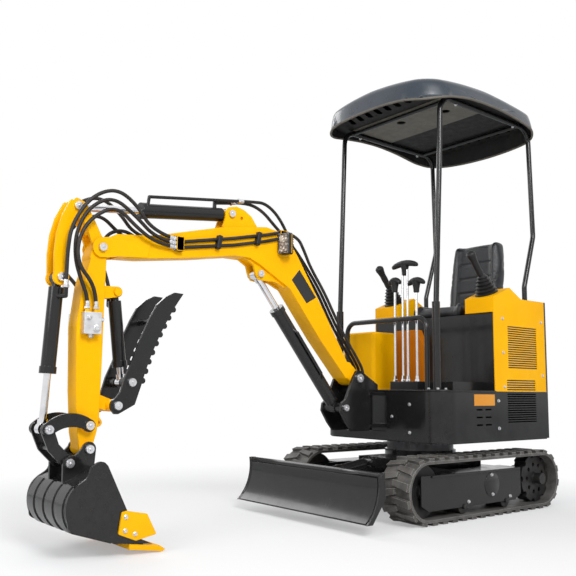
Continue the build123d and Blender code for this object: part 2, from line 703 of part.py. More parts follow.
CYLINDERS = {
    "blade_cylinder": (BLADE_CYL_BASE, BLADE_CYL_PIN, 20.0, 26.0, 14.0, 232.0, 60.0),
    "boom_cylinder": (BOOM_CYL_BASE, BOOM_CYL_PIN, 27.0, 32.0, 16.0, 600.0, 100.0),
    "arm_cylinder": (ARM_CYL_BASE, ARM_CYL_PIN, 25.0, 31.0, 15.0, 440.0, 120.0),
    "bucket_cylinder": (BUCKET_CYL_BASE, LINK_PIN, 25.0, 28.0, 14.0, 365.0, 130.0),
    "thumb_cylinder": (THUMB_CYL_BASE, THUMB_CYL_PIN, 22.0, 26.0, 13.0, 300.0, 200.0),
}
FITTINGS = {
    "bucket_cylinder": (
        ((2080.0, 20.0, 955.0), (2066.0, 62.0, 955.0), (2066.0, 62.0, 985.5)),
        ((2080.0, -20.0, 955.0), (2066.0, -62.0, 955.0), (2066.0, -62.0, 985.5)),
    ),
    "thumb_cylinder": (((1834.0, -18.0, 945.0), (1835.0, -54.0, 945.0), (1835.0, -54.0, 973.5)),),
    "arm_cylinder": (((1372.0, 6.0, 1406.0), (1372.0, 6.0, 1440.0), (1290.5, 6.0, 1453.0)),),
}
PIPES = {
    "arm_cylinder": ((1714.0, 24.0, 1364.0), (1712.0, 30.0, 1404.0), (1262.5, 30.0, 1461.0)),
    "boom_cylinder": ((930.0, 26.0, 893.0), (912.0, 42.0, 880.0), (760.0, 42.0, 692.0), (748.0, 26.0, 668.0)),
}
for name, (base, pin, eye_radius, tube_radius, rod_radius, length, tuck) in CYLINDERS.items():
    with BuildPart() as barrel_piece:
        barrel(base, pin, eye_radius, tube_radius, rod_radius, length)
        for port, elbow, tip in FITTINGS.get(name, ()):
            pipe((port, elbow, tip), FITTING_RADIUS)
        if name in PIPES:
            pipe(PIPES[name], PIPE_RADIUS)
    barrel_piece.part.label = f"{name}_barrel"
    export_step(barrel_piece.part, f"parts/{name}_barrel.step")
    with BuildPart() as rod_piece:
        rod(base, pin, eye_radius - 3.0, rod_radius, length, tuck)
    rod_piece.part.label = f"{name}_rod"
    export_step(rod_piece.part, f"parts/{name}_rod.step")

# Upper structure: base frame, skirts, hood and covers



def grille(panel_left, area, lowest, highest):
    """Cuts a grille's rows of slots through a side panel, between two heights."""
    rear, front, bottom, top = area
    rows = [bottom + (row + 0.5) * GRILLE_PITCH for row in range(int((top - bottom) / GRILLE_PITCH))]
    spots = [((rear + front) / 2, z) for z in rows if lowest + GRILLE_SLOT < z < highest - GRILLE_SLOT]
    with BuildSketch(side(panel_left + 1.0)) as slots:
        with Locations(*spots):
            SlotOverall(front - rear, GRILLE_SLOT)
    extrude(slots.sketch, amount=PANEL + 2.0, mode=Mode.SUBTRACT)


def body_line(front, rear, half_width, radius):
    """The deck's outline from above: square at the rear, round at the two front corners."""
    Line((rear, half_width), (rear, -half_width))
    Line((rear, -half_width), (front - radius, -half_width))
    RadiusArc((front - radius, -half_width), (front, -half_width + radius), -radius)
    Line((front, -half_width + radius), (front, half_width - radius))
    RadiusArc((front, half_width - radius), (front - radius, half_width), -radius)
    Line((front - radius, half_width), (rear, half_width))


with BuildPart() as upper_frame:
    inset = PANEL + SEAT_GAP
    with BuildSketch(level(RING_TOP + SEAT_GAP)) as base_plate:
        with BuildLine():
            sides = BODY_HALF_WIDTH - inset
            body_line(BODY_FRONT - inset, BODY_REAR + SEAT_GAP, sides, CORNER_RADIUS - inset)
        make_face()
    extrude(base_plate.sketch, amount=BASE_PLATE)
    floor_z = RING_TOP + SEAT_GAP + BASE_PLATE
    for rail_y in (-130.0, 130.0):
        with Locations(at((BODY_FRONT + BODY_REAR) / 2, rail_y, (floor_z + DECK_TOP - 20.0) / 2)):
            Box(BODY_FRONT - BODY_REAR - 2 * inset, 10.0, DECK_TOP - 20.0 - floor_z)
    for nose_bottom in (586.0, 424.0):
        with BuildSketch(level(nose_bottom)) as nose:
            with BuildLine():
                Polyline((BODY_FRONT - 20.0, -60.0), (SWING_PIN_X, -46.0))
                RadiusArc((SWING_PIN_X, -46.0), (SWING_PIN_X, 46.0), -46.0)
                Polyline((SWING_PIN_X, 46.0), (BODY_FRONT - 20.0, 60.0), (BODY_FRONT - 20.0, -60.0))
            make_face()
        extrude(nose.sketch, amount=18.0)
    with BuildSketch(level(412.0)) as swing_pin:
        with Locations((SWING_PIN_X, 0)):
            Circle(18.0)
    extrude(swing_pin.sketch, amount=208.0)
    with Locations(at(BODY_FRONT - 20.0, 0, (floor_z + DECK_TOP - PANEL - 1.0) / 2)):
        Box(18.0, 270.0, DECK_TOP - PANEL - 1.0 - floor_z)
upper_frame.part.label = "upper_frame"
export_step(upper_frame.part, "parts/upper_frame.step")

with BuildPart() as front_skirt:
    with BuildSketch(level(SKIRT_BOTTOM)) as ring:
        with BuildLine():
            body_line(BODY_FRONT, HOOD_FRONT, BODY_HALF_WIDTH, CORNER_RADIUS)
        make_face()
        with BuildLine():
            body_line(BODY_FRONT - PANEL, HOOD_FRONT - 1.0, BODY_HALF_WIDTH - PANEL, CORNER_RADIUS - PANEL)
        make_face(mode=Mode.SUBTRACT)
    extrude(ring.sketch, amount=DECK_TOP - PANEL - SEAT_GAP - SKIRT_BOTTOM)
    with Locations(at(BODY_FRONT, 0, 514.0)):
        Box(30.0, 124.0, 220.0, mode=Mode.SUBTRACT)
    with BuildSketch(side(0)) as louvres:
        with Locations(*[(x, z) for x in LOUVRE_X for z in LOUVRE_Z]):
            SlotOverall(LOUVRE_LENGTH, LOUVRE_HEIGHT)
    extrude(louvres.sketch, amount=BODY_HALF_WIDTH + 1.0, both=True, mode=Mode.SUBTRACT)
front_skirt.part.label = "front_skirt"
export_step(front_skirt.part, "parts/front_skirt.step")

# Hood: side panels with their consoles, seat base, rear cover

with BuildPart() as floor_plate:
    with BuildSketch(level(DECK_TOP - PANEL)) as deck:
        with BuildLine():
            body_line(BODY_FRONT, HOOD_FRONT + SEAT_GAP, BODY_HALF_WIDTH, CORNER_RADIUS)
        make_face()
    extrude(deck.sketch, amount=PANEL)
    mat_middle = (MAT_FRONT + HOOD_FRONT + SEAT_GAP) / 2
    with Locations(at(mat_middle, (MAT_LEFT + MAT_RIGHT) / 2, (DECK_TOP + MAT_TOP) / 2)):
        Box(MAT_FRONT - HOOD_FRONT - SEAT_GAP, MAT_LEFT - MAT_RIGHT, MAT_TOP - DECK_TOP)
floor_plate.part.label = "floor_plate"
export_step(floor_plate.part, "parts/floor_plate.step")

BODY_MIDDLE = (HOOD_FRONT + BODY_REAR) / 2
BODY_LENGTH = HOOD_FRONT - BODY_REAR
for hand, word in ((1, "left"), (-1, "right")):
    with BuildPart() as lower_panel:
        panel_y = hand * (BODY_HALF_WIDTH - PANEL / 2)
        with Locations(at(BODY_MIDDLE, panel_y, (SKIRT_BOTTOM + DECK_TOP - SEAT_GAP) / 2)):
            Box(BODY_LENGTH - 2 * SEAT_GAP, PANEL, DECK_TOP - SEAT_GAP - SKIRT_BOTTOM)
        panel_left = BODY_HALF_WIDTH if hand > 0 else -BODY_HALF_WIDTH + PANEL
        grille(panel_left, GRILLE_LOWER, SKIRT_BOTTOM, DECK_TOP - SEAT_GAP)
    lower_panel.part.label = f"lower_panel_{word}"
    export_step(lower_panel.part, f"parts/lower_panel_{word}.step")
    with BuildPart() as side_panel:
        panel_y = hand * (BODY_HALF_WIDTH - PANEL / 2)
        with Locations(at(BODY_MIDDLE, panel_y, (DECK_TOP + CONSOLE_BOTTOM) / 2)):
            Box(BODY_LENGTH, PANEL, CONSOLE_BOTTOM - DECK_TOP)
        top_line = [
            (HOOD_FRONT, CONSOLE_BOTTOM),
            (HOOD_FRONT, CONSOLE_FRONT_TOP),
            CONSOLE_PEAK,
            CONSOLE_BACK,
            (BODY_REAR, HOOD_TOP),
            (BODY_REAR, CONSOLE_BOTTOM),
        ]
        width = BODY_HALF_WIDTH - CONSOLE_INNER_Y
        left = BODY_HALF_WIDTH if hand > 0 else -CONSOLE_INNER_Y
        plate(top_line, left, width)
        inside = [
            (HOOD_FRONT - PANEL, CONSOLE_BOTTOM - 1.0),
            (HOOD_FRONT - PANEL, CONSOLE_FRONT_TOP - PANEL),
            (CONSOLE_PEAK[0], CONSOLE_PEAK[1] - PANEL * 1.1),
            (CONSOLE_BACK[0], CONSOLE_BACK[1] - PANEL * 1.1),
            (BODY_REAR + PANEL, HOOD_TOP - PANEL),
            (BODY_REAR + PANEL, CONSOLE_BOTTOM - 1.0),
        ]
        plate(inside, left - PANEL, width - 2 * PANEL, mode=Mode.SUBTRACT)
        grille(panel_left, GRILLE_LOWER, DECK_TOP, CONSOLE_BOTTOM)
        grille(panel_left, GRILLE_UPPER, DECK_TOP, CONSOLE_BOTTOM)
    side_panel.part.label = f"side_panel_{word}"
    export_step(side_panel.part, f"parts/side_panel_{word}.step")

with BuildPart() as seat_base:
    inner = BODY_HALF_WIDTH - PANEL - SEAT_GAP
    with Locations(at(BODY_MIDDLE, 0, (DECK_TOP + SEAT_BASE_TOP) / 2)):
        Box(BODY_LENGTH - 2 * SEAT_GAP, 2 * inner, SEAT_BASE_TOP - DECK_TOP)
    with Locations(at(BODY_MIDDLE, 0, (DECK_TOP + SEAT_BASE_TOP) / 2 - PANEL)):
        Box(BODY_LENGTH - 2 * PANEL, 2 * inner - 2 * PANEL, SEAT_BASE_TOP - DECK_TOP, mode=Mode.SUBTRACT)
seat_base.part.label = "seat_base"
export_step(seat_base.part, "parts/seat_base.step")

with BuildPart() as rear_cover:
    with Locations(at(BODY_REAR - SEAT_GAP - REAR_COVER_DEPTH / 2, 0, (DECK_TOP + HOOD_TOP) / 2)):
        Box(REAR_COVER_DEPTH, 2 * BODY_HALF_WIDTH, HOOD_TOP - DECK_TOP)
rear_cover.part.label = "rear_cover"
export_step(rear_cover.part, "parts/rear_cover.step")

with BuildPart() as counterweight:
    cover_x = BODY_REAR - SEAT_GAP - REAR_COVER_DEPTH / 2
    with Locations(at(cover_x, 0, (SKIRT_BOTTOM + DECK_TOP - SEAT_GAP) / 2)):
        Box(REAR_COVER_DEPTH, 2 * BODY_HALF_WIDTH, DECK_TOP - SEAT_GAP - SKIRT_BOTTOM)
    with Locations(at(BODY_REAR + 30.0, 0, (floor_z + SEAT_GAP + DECK_TOP - 40.0) / 2)):
        Box(60.0 + 2 * SEAT_GAP, 230.0, DECK_TOP - 40.0 - floor_z - SEAT_GAP)
counterweight.part.label = "counterweight"
export_step(counterweight.part, "parts/counterweight.step")

with BuildPart() as engine_block:
    with Locations(at(ENGINE_X, 0, ENGINE_BOTTOM + ENGINE_HEIGHT / 2)):
        Box(ENGINE_LENGTH, ENGINE_WIDTH, ENGINE_HEIGHT)
engine_block.part.label = "engine_block"
export_step(engine_block.part, "parts/engine_block.step")

with BuildPart() as tank_cover:
    with Locations(at((TANK_FRONT + TANK_REAR) / 2, (TANK_LEFT + TANK_RIGHT) / 2, (DECK_TOP + TANK_TOP) / 2)):
        Box(TANK_FRONT - TANK_REAR, TANK_LEFT - TANK_RIGHT, TANK_TOP - DECK_TOP)
    fillet(tank_cover.edges().filter_by(Axis.Z), 24.0)
    fillet(tank_cover.faces().sort_by(Axis.Z)[-1].edges(), 12.0)
tank_cover.part.label = "tank_cover"
export_step(tank_cover.part, "parts/tank_cover.step")

with BuildPart() as shin_cover:
    with BuildSketch(facing(HOOD_FRONT + SEAT_GAP)) as shin:
        with BuildLine():
            FilletPolyline(
                (SHIN_COVER_RIGHT, DECK_TOP + SEAT_GAP),
                (MAT_RIGHT - SEAT_GAP, DECK_TOP + SEAT_GAP),
                (MAT_RIGHT - SEAT_GAP, SHIN_COVER_TOP - 90.0),
                (MAT_RIGHT - 40.0, SHIN_COVER_TOP),
                (SHIN_COVER_RIGHT, SHIN_COVER_TOP),
                radius=10.0,
                close=True,
            )
        make_face()
    extrude(shin.sketch, amount=SHIN_COVER_DEPTH)
shin_cover.part.label = "shin_cover"
export_step(shin_cover.part, "parts/shin_cover.step")

# Operator's controls

JOYSTICK_BASE = (-168.0, 335.0)
with BuildPart() as joysticks:
    slope = (CONSOLE_PEAK[1] - CONSOLE_FRONT_TOP) / (HOOD_FRONT - CONSOLE_PEAK[0])
    base_z = CONSOLE_FRONT_TOP + slope * (HOOD_FRONT - JOYSTICK_BASE[0])
    for hand in (1, -1):
        foot = (JOYSTICK_BASE[0] + 2.0, base_z + SEAT_GAP)
        tip = (JOYSTICK_BASE[0] + 160.0, base_z + 175.0)
        bellows = Plane(
            origin=at(JOYSTICK_BASE[0], hand * JOYSTICK_BASE[1], base_z + SEAT_GAP),
            x_dir=(0, 1, 0),
            z_dir=(slope, 0, 1),
        )
        with BuildSketch(bellows) as foot_ring:
            Circle(46.0)
        extrude(foot_ring.sketch, amount=70.0, taper=14.0)
        stick = Plane(bellows.origin + bellows.z_dir * 55.0, x_dir=(0, 1, 0), z_dir=(0.8, 0, 1))
        with BuildSketch(stick) as shaft:
            Circle(17.0)
        extrude(shaft.sketch, amount=130.0)
joysticks.part.label = "joysticks"
export_step(joysticks.part, "parts/joysticks.step")

LEVER_X = 196.0
LEVERS = ((20.0, 1190.0), (62.0, 1228.0), (96.0, 1228.0), (158.0, 1130.0))
with BuildPart() as travel_levers:
    with Locations(at(LEVER_X, 85.0, DECK_TOP + 24.0)):
        Box(54.0, 190.0, 48.0)
    for lever_y, top in LEVERS:
        with BuildSketch(level(DECK_TOP + 40.0)) as lever:
            with Locations((LEVER_X, lever_y)):
                Circle(6.5)
        extrude(lever.sketch, amount=top - DECK_TOP - 40.0)
    for grip_y, grip_z, half in ((79.0, 1262.0, 68.0), (158.0, 1165.0, 46.0)):
        with BuildSketch(level(grip_z - 45.0)) as stem:
            with Locations((LEVER_X, grip_y)):
                Ellipse(18.0, 26.0)
        extrude(stem.sketch, amount=40.0)
        with Locations(at(LEVER_X, grip_y, grip_z)):
            Cylinder(15.0, 2 * half, rotation=(90, 0, 0))
    with Locations(at(LEVER_X, 20.0, 1205.0)):
        Cylinder(15.0, 50.0)
travel_levers.part.label = "travel_levers"
export_step(travel_levers.part, "parts/travel_levers.step")

# Seat

with BuildPart() as seat_cushion:
    with Locations(at((SEAT_FRONT + SEAT_BACK_X) / 2, 0, (SEAT_BASE_TOP + SEAT_GAP + SEAT_CUSHION_TOP) / 2)):
        Box(SEAT_FRONT - SEAT_BACK_X, 2 * SEAT_HALF_WIDTH, SEAT_CUSHION_TOP - SEAT_BASE_TOP - SEAT_GAP)
    fillet(seat_cushion.edges().filter_by(Axis.Z), 30.0)
seat_cushion.part.label = "seat_cushion"
export_step(seat_cushion.part, "parts/seat_cushion.step")

with BuildPart() as seat_back:
    back = [
        (SEAT_BACK_X + 42.0, SEAT_CUSHION_TOP + SEAT_GAP),
        (SEAT_BACK_X + 42.0 - SEAT_RECLINE, SEAT_BACK_TOP),
        (SEAT_BACK_X + 42.0 - SEAT_RECLINE - SEAT_BACK_THICKNESS * 0.8, SEAT_BACK_TOP),
        (SEAT_BACK_X + 42.0 - SEAT_BACK_THICKNESS, SEAT_BASE_TOP + 130.0),
        (SEAT_BACK_X - SEAT_GAP, SEAT_BASE_TOP + SEAT_GAP),
        (SEAT_BACK_X - SEAT_GAP, SEAT_CUSHION_TOP + SEAT_GAP),
    ]
    plate(back, SEAT_HALF_WIDTH, 2 * SEAT_HALF_WIDTH)
seat_back.part.label = "seat_back"
export_step(seat_back.part, "parts/seat_back.step")

# Canopy and guard rail

with BuildPart() as canopy_frame:
    for hand in (1, -1):
        hoop_line = [
            at(POST_X, hand * POST_Y, SOCKET_TOP - 40.0),
            at(HOOP_FRONT[0] + 10.0, hand * HOOP_Y, HOOP_FRONT[1] - 290.0),
            at(HOOP_FRONT[0], hand * HOOP_Y, HOOP_FRONT[1]),
            at(HOOP_REAR[0], hand * HOOP_Y, HOOP_REAR[1]),
            at(REAR_POST_KNEE[0], hand * HOOP_Y, REAR_POST_KNEE[1]),
            at(REAR_POST_FOOT[0], hand * HOOP_Y, REAR_POST_FOOT[1]),
            at(REAR_POST_FOOT[0], hand * HOOP_Y, HOOD_TOP + SEAT_GAP),
        ]
        with BuildLine() as hoop:
            FilletPolyline(*hoop_line, radius=[HOOP_CORNER * 3, HOOP_CORNER, HOOP_CORNER, 90.0, 60.0])
        start = Plane(hoop.line @ 0, z_dir=hoop.line % 0)
        with BuildSketch(start) as section:
            Circle(TUBE_RADIUS)
        sweep(section.sketch, path=hoop.line)
        with BuildSketch(level(DECK_TOP)) as socket:
            with Locations((POST_X, hand * POST_Y)):
                Circle(SOCKET_RADIUS)
        extrude(socket.sketch, amount=SOCKET_TOP - DECK_TOP)
        with BuildSketch(level(DECK_TOP)) as foot:
            with Locations((POST_X, hand * POST_Y)):
                RectangleRounded(86.0, 86.0, 12.0)
        extrude(foot.sketch, amount=8.0)
        with BuildSketch(level(HOOD_TOP + SEAT_GAP)) as rear_foot:
            with Locations((REAR_POST_FOOT[0], hand * HOOP_Y)):
                RectangleRounded(80.0, 70.0, 10.0)
        extrude(rear_foot.sketch, amount=6.0)
    for bar_x in CROSSBAR_X:
        cross_pin((bar_x, HOOP_Z), TUBE_RADIUS - 3.0, HOOP_Y)
canopy_frame.part.label = "canopy_frame"
export_step(canopy_frame.part, "parts/canopy_frame.step")

ROOF_MIDDLE = (ROOF_FRONT + ROOF_REAR) / 2
ROOF_SLOPE = tan(radians(ROOF_TAPER))


def roof_block(inset, bottom, top, mode=Mode.ADD):
    """A block with the roof's outline, drawn in by inset and narrowing upwards like its rim."""
    draw_in = inset + (bottom - ROOF_LOW) * ROOF_SLOPE
    with BuildSketch(level(bottom)) as outline:
        with Locations((ROOF_MIDDLE, 0)):
            RectangleRounded(
                ROOF_FRONT - ROOF_REAR - 2 * draw_in,
                2 * (ROOF_HALF_WIDTH - draw_in),
                ROOF_CORNER - draw_in,
            )
    extrude(outline.sketch, amount=top - bottom, taper=ROOF_TAPER, mode=mode)


with BuildPart() as roof_cavity:
    roof_block(ROOF_SHEET, ROOF_LOW, ROOF_TOP - ROOF_SHEET)
    fillet(roof_cavity.faces().sort_by(Axis.Z)[-1].edges(), ROOF_EDGE_ROUND - ROOF_SHEET)

with BuildPart() as canopy_roof:
    roof_block(0, ROOF_LOW, ROOF_TOP)
    fillet(canopy_roof.faces().sort_by(Axis.Z)[-1].edges(), ROOF_EDGE_ROUND)
    with BuildSketch(level(ROOF_TOP - 1.0)) as raised:
        with Locations((ROOF_MIDDLE, 0)):
            RectangleRounded(
                ROOF_FRONT - ROOF_REAR - 2 * ROOF_PANEL_INSET,
                2 * (ROOF_HALF_WIDTH - ROOF_PANEL_INSET),
                ROOF_CORNER / 2,
            )
    extrude(raised.sketch, amount=ROOF_PANEL_RISE + 1.0, taper=45.0)
    add(roof_cavity.part, mode=Mode.SUBTRACT)
    low = ROOF_LOW - 1.0
    with BuildSketch(side(0)) as side_arch:
        with BuildLine():
            ThreePointArc(ROOF_REAR_ARCH, ROOF_SIDE_ARCH, ROOF_FRONT_ARCH)
            Polyline(ROOF_FRONT_ARCH, (ROOF_FRONT_ARCH[0], low), (ROOF_REAR_ARCH[0], low), ROOF_REAR_ARCH)
        make_face()
    extrude(side_arch.sketch, amount=ROOF_HALF_WIDTH + 1.0, both=True, mode=Mode.SUBTRACT)
    ends = (
        (ROOF_REAR - 1.0, ROOF_REAR_ARCH[0] - ROOF_REAR + 1.0, ROOF_REAR_ARCH[1], ROOF_LOW + 5.0),
        (ROOF_SIDE_ARCH[0], ROOF_FRONT - ROOF_SIDE_ARCH[0], ROOF_FRONT_ARCH[1], ROOF_FRONT_MIDDLE),
    )
    for start_x, depth, corner_z, middle_z in ends:
        with BuildSketch(facing(start_x)) as end_arch:
            with BuildLine():
                ThreePointArc((-ROOF_HALF_WIDTH, corner_z), (0, middle_z), (ROOF_HALF_WIDTH, corner_z))
                Polyline(
                    (ROOF_HALF_WIDTH, corner_z),
                    (ROOF_HALF_WIDTH, low),
                    (-ROOF_HALF_WIDTH, low),
                    (-ROOF_HALF_WIDTH, corner_z),
                )
            make_face()
        extrude(end_arch.sketch, amount=depth, mode=Mode.SUBTRACT)
canopy_roof.part.label = "canopy_roof"
export_step(canopy_roof.part, "parts/canopy_roof.step")

with BuildPart() as canopy_liner:
    liner_bottom = HOOP_Z + TUBE_RADIUS + SEAT_GAP
    roof_block(ROOF_SHEET + SEAT_GAP, liner_bottom, liner_bottom + LINER_SHEET)
    slot_y = [(slot - (LINER_SLOTS - 1) / 2) * LINER_SLOT_PITCH for slot in range(LINER_SLOTS)]
    with BuildSketch(level(liner_bottom)) as cuts:
        for slot_x in LINER_SLOT_X:
            with Locations(*[(slot_x, y) for y in slot_y]):
                SlotOverall(86.0, 34.0, rotation=20.0)
        with Locations(*LINER_HOLES):
            Circle(24.0)
    extrude(cuts.sketch, amount=LINER_SHEET, mode=Mode.SUBTRACT)
canopy_liner.part.label = "canopy_liner"
export_step(canopy_liner.part, "parts/canopy_liner.step")

with BuildPart() as guard_rail:
    rail_line = [
        at(POST_X, -RAIL_Y, DECK_TOP + SEAT_GAP),
        at(POST_X, -RAIL_Y, RAIL_TOP),
        at(POST_X, RAIL_Y, RAIL_TOP),
        at(POST_X, RAIL_Y, DECK_TOP + SEAT_GAP),
    ]
    with BuildLine() as rail:
        FilletPolyline(*rail_line, radius=60.0)
    with BuildSketch(Plane(rail.line @ 0, z_dir=rail.line % 0)) as section:
        Circle(RAIL_RADIUS)
    sweep(section.sketch, path=rail.line)
guard_rail.part.label = "guard_rail"
export_step(guard_rail.part, "parts/guard_rail.step")

# Digging gear

with BuildPart() as swing_bracket:
    bracket_outline = [
        (462.0, 412.0),
        (585.0, 410.0),
        (622.0, 450.0),
        (662.0, 510.0),
        (655.0, 548.0),
        (628.0, 565.0),
        (572.0, 680.0),
        (552.0, 708.0),
        (518.0, 708.0),
        (492.0, 690.0),
        (404.0, 640.0),
        (404.0, 612.0),
        (470.0, 612.0),
    ]
    for left in both_sides(BRACKET_PLATE_Y, BRACKET_PLATE):
        plate(bracket_outline, left, BRACKET_PLATE, radius=6.0)
    with BuildSketch(level(444.0)) as knuckle:
        with Locations((SWING_PIN_X, 0)):
            Circle(38.0)
        with Locations((SWING_PIN_X + 60.0, 0)):
            Rectangle(100.0, 60.0)
        with Locations((SWING_PIN_X + 76.0, 0)):
            Rectangle(60.0, 2 * BRACKET_PLATE_Y + 2.0)
    extrude(knuckle.sketch, amount=140.0)
    with BuildSketch(level(440.0)) as bore:
        with Locations((SWING_PIN_X, 0)):
            Circle(18.0 + PIN_GAP)
    extrude(bore.sketch, amount=150.0, mode=Mode.SUBTRACT)
    cross_pin(BOOM_FOOT, PIN_RADIUS + 2.0, BRACKET_PLATE_Y + 1.0)
    cross_pin(BOOM_CYL_BASE, PIN_RADIUS, BRACKET_PLATE_Y + 1.0)
    pin_heads(BOOM_FOOT, BRACKET_PLATE_Y + BRACKET_PLATE, radius=22.0)
    pin_heads(BOOM_CYL_BASE, BRACKET_PLATE_Y + BRACKET_PLATE)
    with Locations(at(HOSE_PLATE_X, 0, HOSE_PLATE_TOP - 5.0)):
        Box(40.0, 2 * BRACKET_PLATE_Y + 2.0, 10.0)
    for hose_y in BUNDLE_Y:
        stub_foot = (HOSE_PLATE_X, hose_y, HOSE_PLATE_TOP - 2.0)
        bar(stub_foot, (HOSE_PLATE_X, hose_y, BUNDLE[-1][1] - SEAT_GAP), FITTING_RADIUS)
    for left in both_sides(EYE_HALF_WIDTH + SIDE_GAP, BRACKET_PLATE_Y - EYE_HALF_WIDTH - SIDE_GAP + 1.0):
        with BuildSketch(side(left)) as spacer:
            with Locations(BOOM_CYL_BASE):
                Circle(BOSS_RADIUS - 6.0)
        extrude(spacer.sketch, amount=BRACKET_PLATE_Y - EYE_HALF_WIDTH - SIDE_GAP + 1.0)
swing_bracket.part.label = "swing_bracket"
export_step(swing_bracket.part, "parts/swing_bracket.step")

BOOM_OUTLINE = [
    (560.0, 700.0),
    (752.0, 997.0),
    (920.0, 1248.0),
    (962.0, 1300.0),
    (1042.0, 1349.0),
    (1110.0, 1360.0),
    (1330.0, 1330.0),
    (1578.0, 1268.0),
    (1694.0, 1239.0),
    (1775.0, 1230.0),
    (1846.0, 1132.0),
    (1735.0, 1138.0),
    (1475.0, 1173.0),
    (1285.0, 1205.0),
    (1200.0, 1205.0),
    (1140.0, 1180.0),
    (963.0, 1084.0),
    (778.0, 859.0),
    (600.0, 668.0),
]
with BuildPart() as boom:
    with BuildSketch(side(0)) as shell:
        with BuildLine():
            Polyline(*BOOM_OUTLINE, close=True)
        make_face()
    extrude(shell.sketch, amount=BOOM_HALF_WIDTH, both=True)
    with BuildSketch(side(0)) as hollow:
        add(shell.sketch_local)
        offset(amount=-BOOM_WALL, kind=Kind.INTERSECTION, mode=Mode.REPLACE)
    extrude(hollow.sketch, amount=BOOM_HALF_WIDTH - BOOM_WALL, both=True, mode=Mode.SUBTRACT)
    strap([(BOOM_FOOT, 34.0), ((590.0, 715.0), 36.0)], BOOM_HALF_WIDTH, 2 * BOOM_HALF_WIDTH)
    cross_pin(BOOM_FOOT, 30.0, BRACKET_PLATE_Y - SIDE_GAP)
    cross_pin(BOOM_FOOT, PIN_RADIUS + 2.0 + PIN_GAP, BRACKET_PLATE_Y + 1.0, Mode.SUBTRACT)
    fork_inner = ARM_HALF_WIDTH + 2.0
    fork_outline = [
        (1775.0, 1230.0),
        (1859.0, 1222.0),
        (1900.0, 1200.0),
        (1900.0, 1122.0),
        (1846.0, 1132.0),
        (1720.0, 1142.0),
        (1700.0, 1236.0),
    ]
    for left in both_sides(fork_inner, BOOM_FORK_PLATE):
        plate(fork_outline, left, BOOM_FORK_PLATE)
        strap([(ARM_PIVOT, 40.0), ((1880.0, 1167.0), 40.0)], left, BOOM_FORK_PLATE)
    for left in both_sides(EYE_HALF_WIDTH + SIDE_GAP, LUG_PLATE):
        top_lug = [
            (1345.0, 1325.0),
            (1330.0, 1370.0),
            (1330.0, 1405.0),
            (1310.0, 1425.0),
            (1270.0, 1434.0),
            (1228.0, 1424.0),
            (1186.0, 1399.0),
            (1150.0, 1352.0),
            (1200.0, 1320.0),
        ]
        plate(top_lug, left, LUG_PLATE, radius=8.0)
        low_lug = [
            (1290.0, 1215.0),
            (1215.0, 1203.0),
            (1170.0, 1178.0),
            (1158.0, 1140.0),
            (1140.0, 1113.0),
            (1118.0, 1111.0),
            (1040.0, 1110.0),
            (960.0, 1076.0),
            (1040.0, 1160.0),
            (1180.0, 1230.0),
        ]
        plate(low_lug, left, LUG_PLATE, radius=6.0)
    pin_heads(ARM_CYL_BASE, EYE_HALF_WIDTH + SIDE_GAP + LUG_PLATE)
    cross_pin(ARM_CYL_BASE, PIN_RADIUS, EYE_HALF_WIDTH + SIDE_GAP + 1.0)
    pin_heads(BOOM_CYL_PIN, EYE_HALF_WIDTH + SIDE_GAP + LUG_PLATE)
    rod_room = [
        (BOOM_CYL_PIN, ROD_EYE_ROOM),
        (BOOM_ROD_LIMIT, ROD_EYE_ROOM),
        (BOOM_NECK_LIMIT, ROD_EYE_ROOM),
    ]
    strap(rod_room, EYE_HALF_WIDTH + SIDE_GAP, 2 * (EYE_HALF_WIDTH + SIDE_GAP), mode=Mode.SUBTRACT)
    cross_pin(LIFT_HOLE, LIFT_BORE / 2, BOOM_HALF_WIDTH, Mode.SUBTRACT)
    for hand in (1, -1):
        block(CLAMP, BOOM_HALF_WIDTH - 1.0, CLAMP_DEPTH + 1.0, hand)
        block(JUNCTION, BOOM_HALF_WIDTH - 1.0, CLAMP_DEPTH + 1.0, hand)
        pipe_y = hand * (BOOM_HALF_WIDTH + PIPE_RADIUS - 0.5)
        for line in BOOM_PIPES:
            pipe([(x, pipe_y, z) for x, z in line], PIPE_RADIUS)
    block(LAMP, LAMP_INNER_Y, LAMP_WIDTH, 1)
    lamp_stay = (LAMP[0] + 6.0, LAMP[1] - 6.0, LAMP[2] + 20.0, LAMP[3] - 20.0)
    block(lamp_stay, BOOM_HALF_WIDTH - 1.0, LAMP_INNER_Y - BOOM_HALF_WIDTH + 2.0, 1)
    cross_pin(ARM_PIVOT, PIN_RADIUS + 2.0, fork_inner + 1.0)
    pin_heads(ARM_PIVOT, fork_inner + BOOM_FORK_PLATE)
boom.part.label = "boom"
export_step(boom.part, "parts/boom.step")

